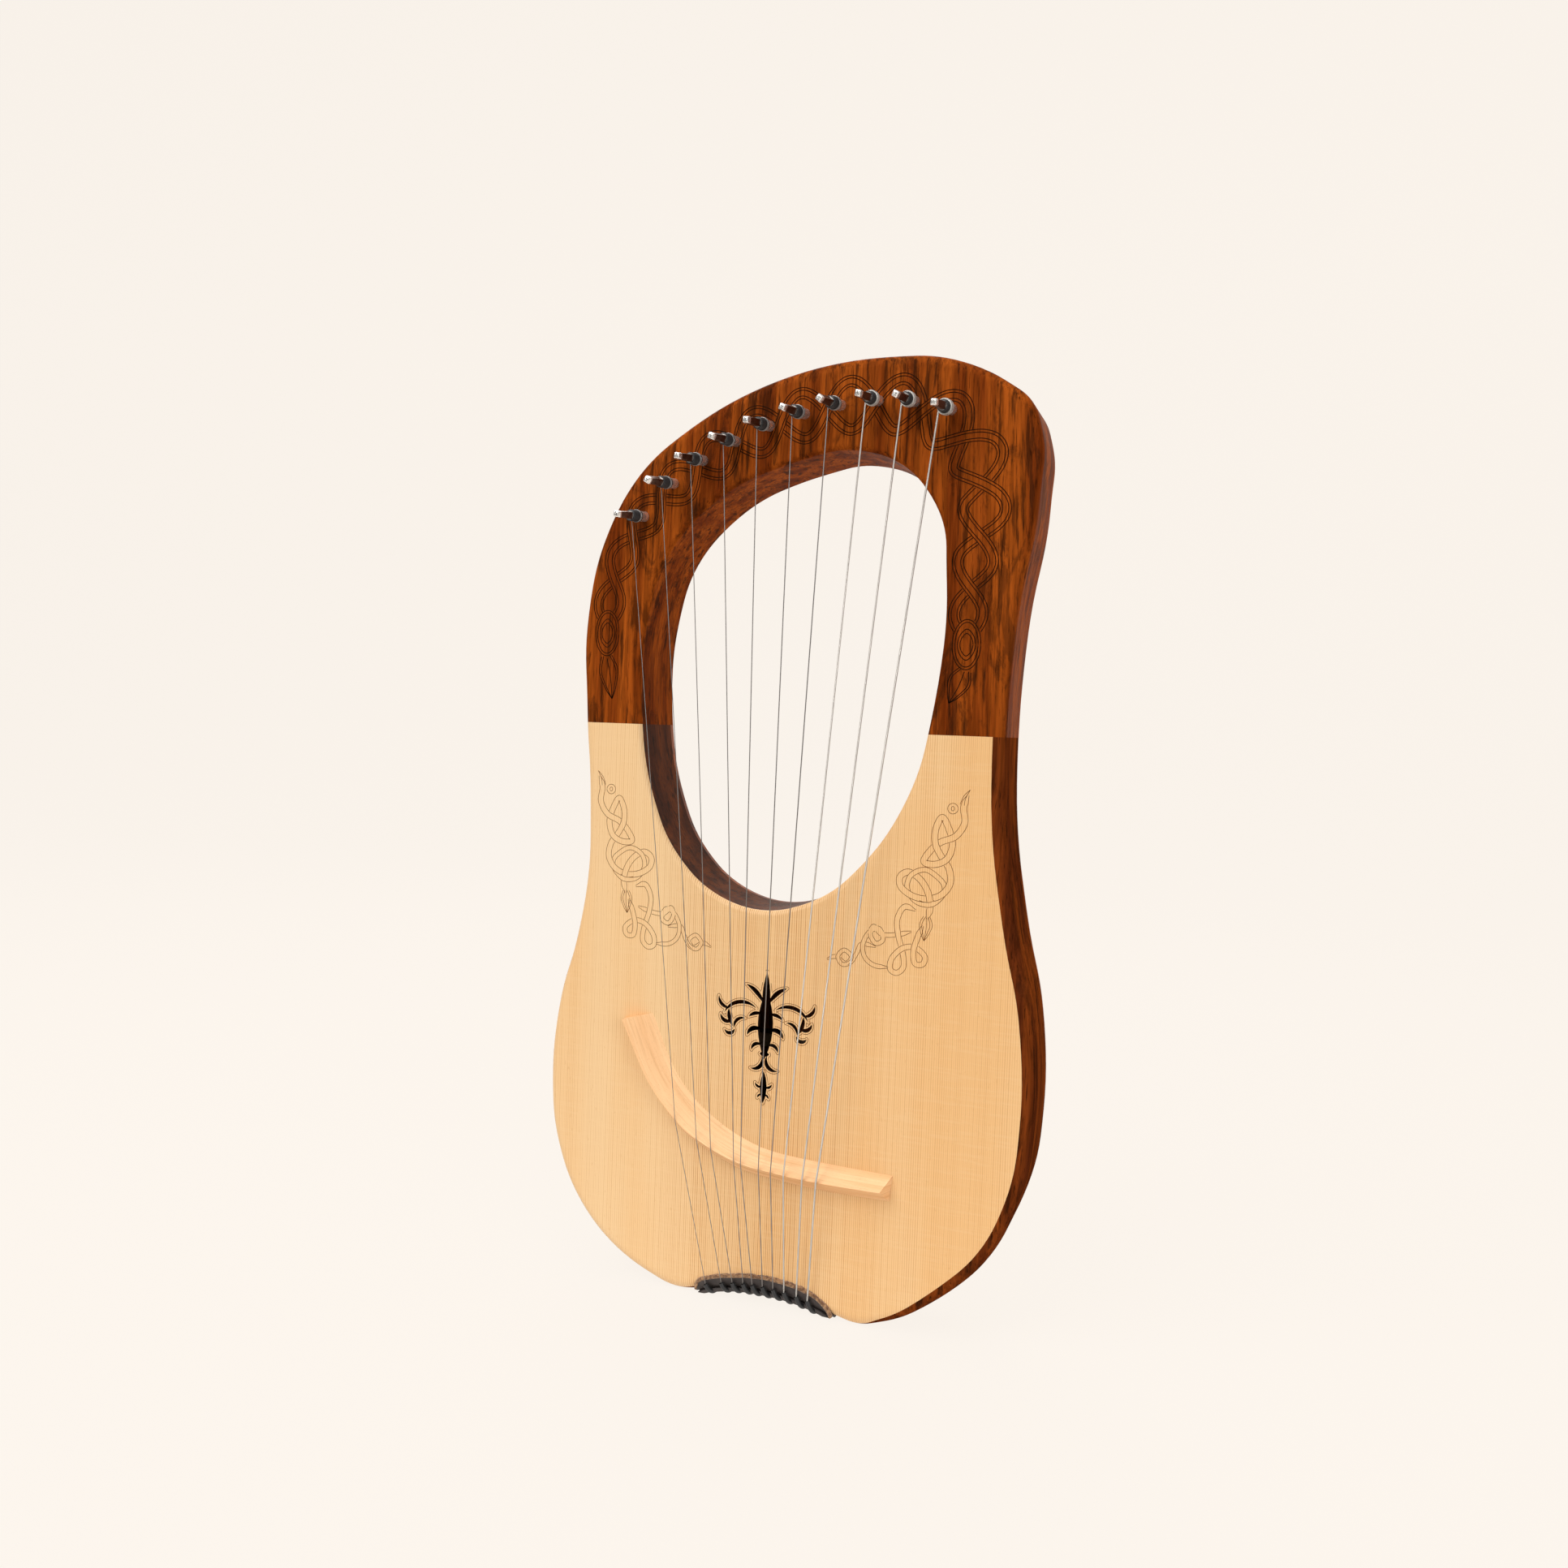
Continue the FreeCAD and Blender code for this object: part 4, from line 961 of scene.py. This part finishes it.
# ---------------------------------------------------------------- leather, sleeves and hitch pins
# Dark leather is glued over the notch to save the wood from the strings. Its cut edge shows
# the brown, fuzzy inside of the hide. Short black tubes guide the strings over it.
LEATHER_ARCH = [(-45.4, 3.5), (-44.8, 6.2), (-43, 9.4), (-38, 11.7), (-33, 13.4), (-27.5, 14.9),
                (-22, 15.9), (-14.5, 17.3), (-7, 18.2), (-1.5, 18.5), (4, 18.4), (10.5, 17.9),
                (17, 17), (22.5, 15.8), (28, 14.2), (32.3, 12.1), (36, 9.2), (38.8, 6.0),
                (40.4, 2.9)]
LEATHER_THICK = 1.5
LIP_SECTION = [(-7.9, 0.4), (-8.3, -0.7), (-7.8, -1.7), (-5.5, -2.1), (-3.4, -1.2), (-3.0, 0.4)]
LIP_ENDS = (-43.5, 38.5)
LIP_TAPER = 5              # millimetres over which the lip thins out at each end


def hide():
    material, tree, shader, place = new_material("dark_leather")
    cells = add_node(tree, "TexVoronoi", {"feature": "DISTANCE_TO_EDGE"}, Vector=place,
                     Scale=1500.0).outputs["Distance"]
    cloud = noise(tree, place, 160.0, 4.0, 0.6)
    colour = blend_colour(tree, remap(tree, cloud, 0.35, 0.68), (0.030, 0.022, 0.020, 1),
                          (0.062, 0.047, 0.042, 1))
    surface(tree, shader, colour, remap(tree, cloud, 0.3, 0.7, 0.52, 0.72, False),
            bump(tree, remap(tree, cells, 0.0, 0.25), 0.25, 0.0001,
                 bump(tree, cloud, 0.3, 0.0004)))
    return material


def suede():
    material, tree, shader, place = new_material("suede_edge")
    fuzz = noise(tree, place, 1900.0, 4.0, 0.7)
    cloud = noise(tree, place, 420.0, 3.0, 0.6)
    colour = blend_colour(tree, remap(tree, cloud, 0.38, 0.62), (0.42, 0.235, 0.115, 1),
                          (0.16, 0.075, 0.035, 1))
    colour = blend_colour(tree, remap(tree, fuzz, 0.52, 0.66), colour, (0.035, 0.018, 0.012, 1))
    surface(tree, shader, colour, 0.95, bump(tree, fuzz, 0.7, 0.0005), Sheen_Weight=0.3)
    return material


def leather_edge():
    """The frayed cut edge of the leather along its arch on the soundboard."""
    line = smooth_line(LEATHER_ARCH, step=0.35)
    count = len(line)
    frays = slow_wobble(count, 0.28, 2) + slow_wobble(count, 0.3, 9)
    lifts = slow_wobble(count, 0.16, 2)
    face, top = FACE / MM, -LEATHER_THICK
    vertices = []
    for place, outwards, fray, lift in zip(line, side_of(line), frays, lifts):
        section = [(0.75 + fray, -0.02), (0.55 + fray, -0.75),
                   (0.1 + 0.5 * fray, top - 0.12 - lift * 0.5), (-0.75, top - 0.16 - abs(lift)),
                   (-1.35 + 0.5 * lift, top - 0.05), (-1.35, top + 0.5), (-0.2, -0.02)]
        for reach, rise in section:
            x, z = place + outwards * reach
            vertices.append((x * MM, (face + rise) * MM, z * MM))
    lofted_piece("leather_cut_edge", vertices, len(section), suede(), "lyre_body")


def leather_lip(material):
    """The leather's turned-under lip, which pads the edge behind the sleeves."""
    patch = nodes["leather_patch"]
    vertices = []
    for x in np.arange(LIP_ENDS[0], LIP_ENDS[1] + 0.5, 1.0):
        found, place = patch.ray_cast(Vector((x * MM, -0.005, -0.02)), Vector((0, 0, 1)))[:2]
        if not found:
            continue
        slim = min(1.0, (x - LIP_ENDS[0] + 1) / LIP_TAPER, (LIP_ENDS[1] + 1 - x) / LIP_TAPER)
        vertices += [(x * MM, y * MM, place.z + drop * slim * MM) for y, drop in LIP_SECTION]
    lofted_piece("leather_lip", vertices, len(LIP_SECTION), material, "lyre_body")


dark_leather = hide()
finish_node("leather_patch", dark_leather)
leather_edge()
leather_lip(dark_leather)
finish_node("edge_sleeves", clouded("sleeve_black", 500.0, ((0.012, 0.012, 0.013, 1),
                                                            (0.024, 0.024, 0.025, 1)),
                                    (0.40, 0.55), (0.15, 0.0001))[0])
finish_node("hitch_pins", metal("hitch_steel", (0.42, 0.40, 0.38, 1), 0.32, (800, 800, 800), 0.2))

# ---------------------------------------------------------------- studio
# A pale sheet of paper under and far behind the lyre, lit from within so that it stays even.
# Two big soft lamps in front, one above and one behind, and otherwise a dim room.
PAPER = (0.965, 0.905, 0.838)
PAPER_GLOW, PAPER_SHARE = 0.965, 0.04
PAPER_FRONT, PAPER_BACK, PAPER_TOP = -0.62, 4.0, 7.0
PAPER_BEND = 2.0           # radius of the bend between floor and wall
PAPER_HALF = 8.0


def studio_floor():
    bend = [math.radians(4.5 * step) for step in range(21)]
    rows = [(PAPER_FRONT, 0.0)]
    rows += [(2.0 + PAPER_BEND * math.sin(turn), PAPER_BEND - PAPER_BEND * math.cos(turn))
             for turn in bend]
    rows.append((PAPER_BACK, PAPER_TOP))
    vertices = [(side, y, z) for y, z in rows for side in (-PAPER_HALF, PAPER_HALF)]
    faces = [(2 * i, 2 * i + 1, 2 * i + 3, 2 * i + 2) for i in range(len(rows) - 1)]
    mesh = bpy.data.meshes.new("floor")
    mesh.from_pydata(vertices, [], faces)
    floor = bpy.data.objects.new("floor", mesh)
    bpy.context.scene.collection.objects.link(floor)
    material, tree, shader, place = new_material("floor_paper")
    tooth = noise(tree, place, 900.0, 2.0)
    shades = [[part * share for part in PAPER] + [1] for share in (PAPER_SHARE, PAPER_SHARE * 0.97)]
    tree.links.new(blend_colour(tree, tooth, *shades), shader.inputs["Base Color"])
    shader.inputs["Roughness"].default_value = 0.95
    shader.inputs["Specular IOR Level"].default_value = 0.0
    shader.inputs["Emission Color"].default_value = (*PAPER, 1)
    shader.inputs["Emission Strength"].default_value = PAPER_GLOW
    mesh.materials.append(material)
    mesh.shade_smooth()


studio_floor()


def soft_lamp(name, place, aim, size, power):
    lamp = bpy.data.lights.new(name, "AREA")
    lamp.shape = "RECTANGLE"
    lamp.size, lamp.size_y = size
    lamp.energy = power
    holder = bpy.data.objects.new(name, lamp)
    holder.location = place
    holder.rotation_euler = (Vector(aim) - Vector(place)).to_track_quat("-Z", "Y").to_euler()
    bpy.context.scene.collection.objects.link(holder)


soft_lamp("window_left", (-1.1, -1.7, 2.0), (0, 0, 0.28), (2.0, 2.0), 60)
soft_lamp("window_right", (1.9, -1.5, 0.9), (0, 0, 0.28), (1.2, 1.8), 20)
soft_lamp("top", (0.1, -0.3, 2.2), (0, 0, 0.2), (1.4, 1.4), 14)
soft_lamp("behind", (-0.7, 1.2, 1.7), (0, 0, 0.35), (1.0, 1.0), 10)
world = bpy.data.worlds.new("surround")
bpy.context.scene.world = world
world.use_nodes = True
world.node_tree.nodes["Background"].inputs["Color"].default_value = (1.0, 0.975, 0.945, 1)
world.node_tree.nodes["Background"].inputs["Strength"].default_value = 0.14
bpy.context.scene.view_settings.view_transform = "Standard"

# Camera: slightly above the middle, a little to the bass side, turned back to the lyre.
LENS = 28.78
CAMERA_PLACE = Vector((0.24831, -0.68222, 0.34004))
YAW, PITCH, ROLL = 0.353591, 0.0457077, 0.0362077


def studio_camera():
    camera = bpy.data.cameras.new("camera")
    camera.sensor_width = 36.0
    camera.lens = LENS
    camera.clip_start = 0.01
    holder = bpy.data.objects.new("camera", camera)
    bpy.context.scene.collection.objects.link(holder)
    ahead = Vector((-math.sin(YAW) * math.cos(PITCH), math.cos(YAW) * math.cos(PITCH), -math.sin(PITCH)))
    right = Vector((math.cos(YAW), math.sin(YAW), 0))
    up = right.cross(ahead)
    leaned_right = math.cos(ROLL) * right + math.sin(ROLL) * up
    leaned_up = -math.sin(ROLL) * right + math.cos(ROLL) * up
    turn = Matrix((leaned_right, leaned_up, -ahead)).transposed()
    holder.matrix_world = Matrix.Translation(CAMERA_PLACE) @ turn.to_4x4()
    bpy.context.scene.camera = holder


studio_camera()
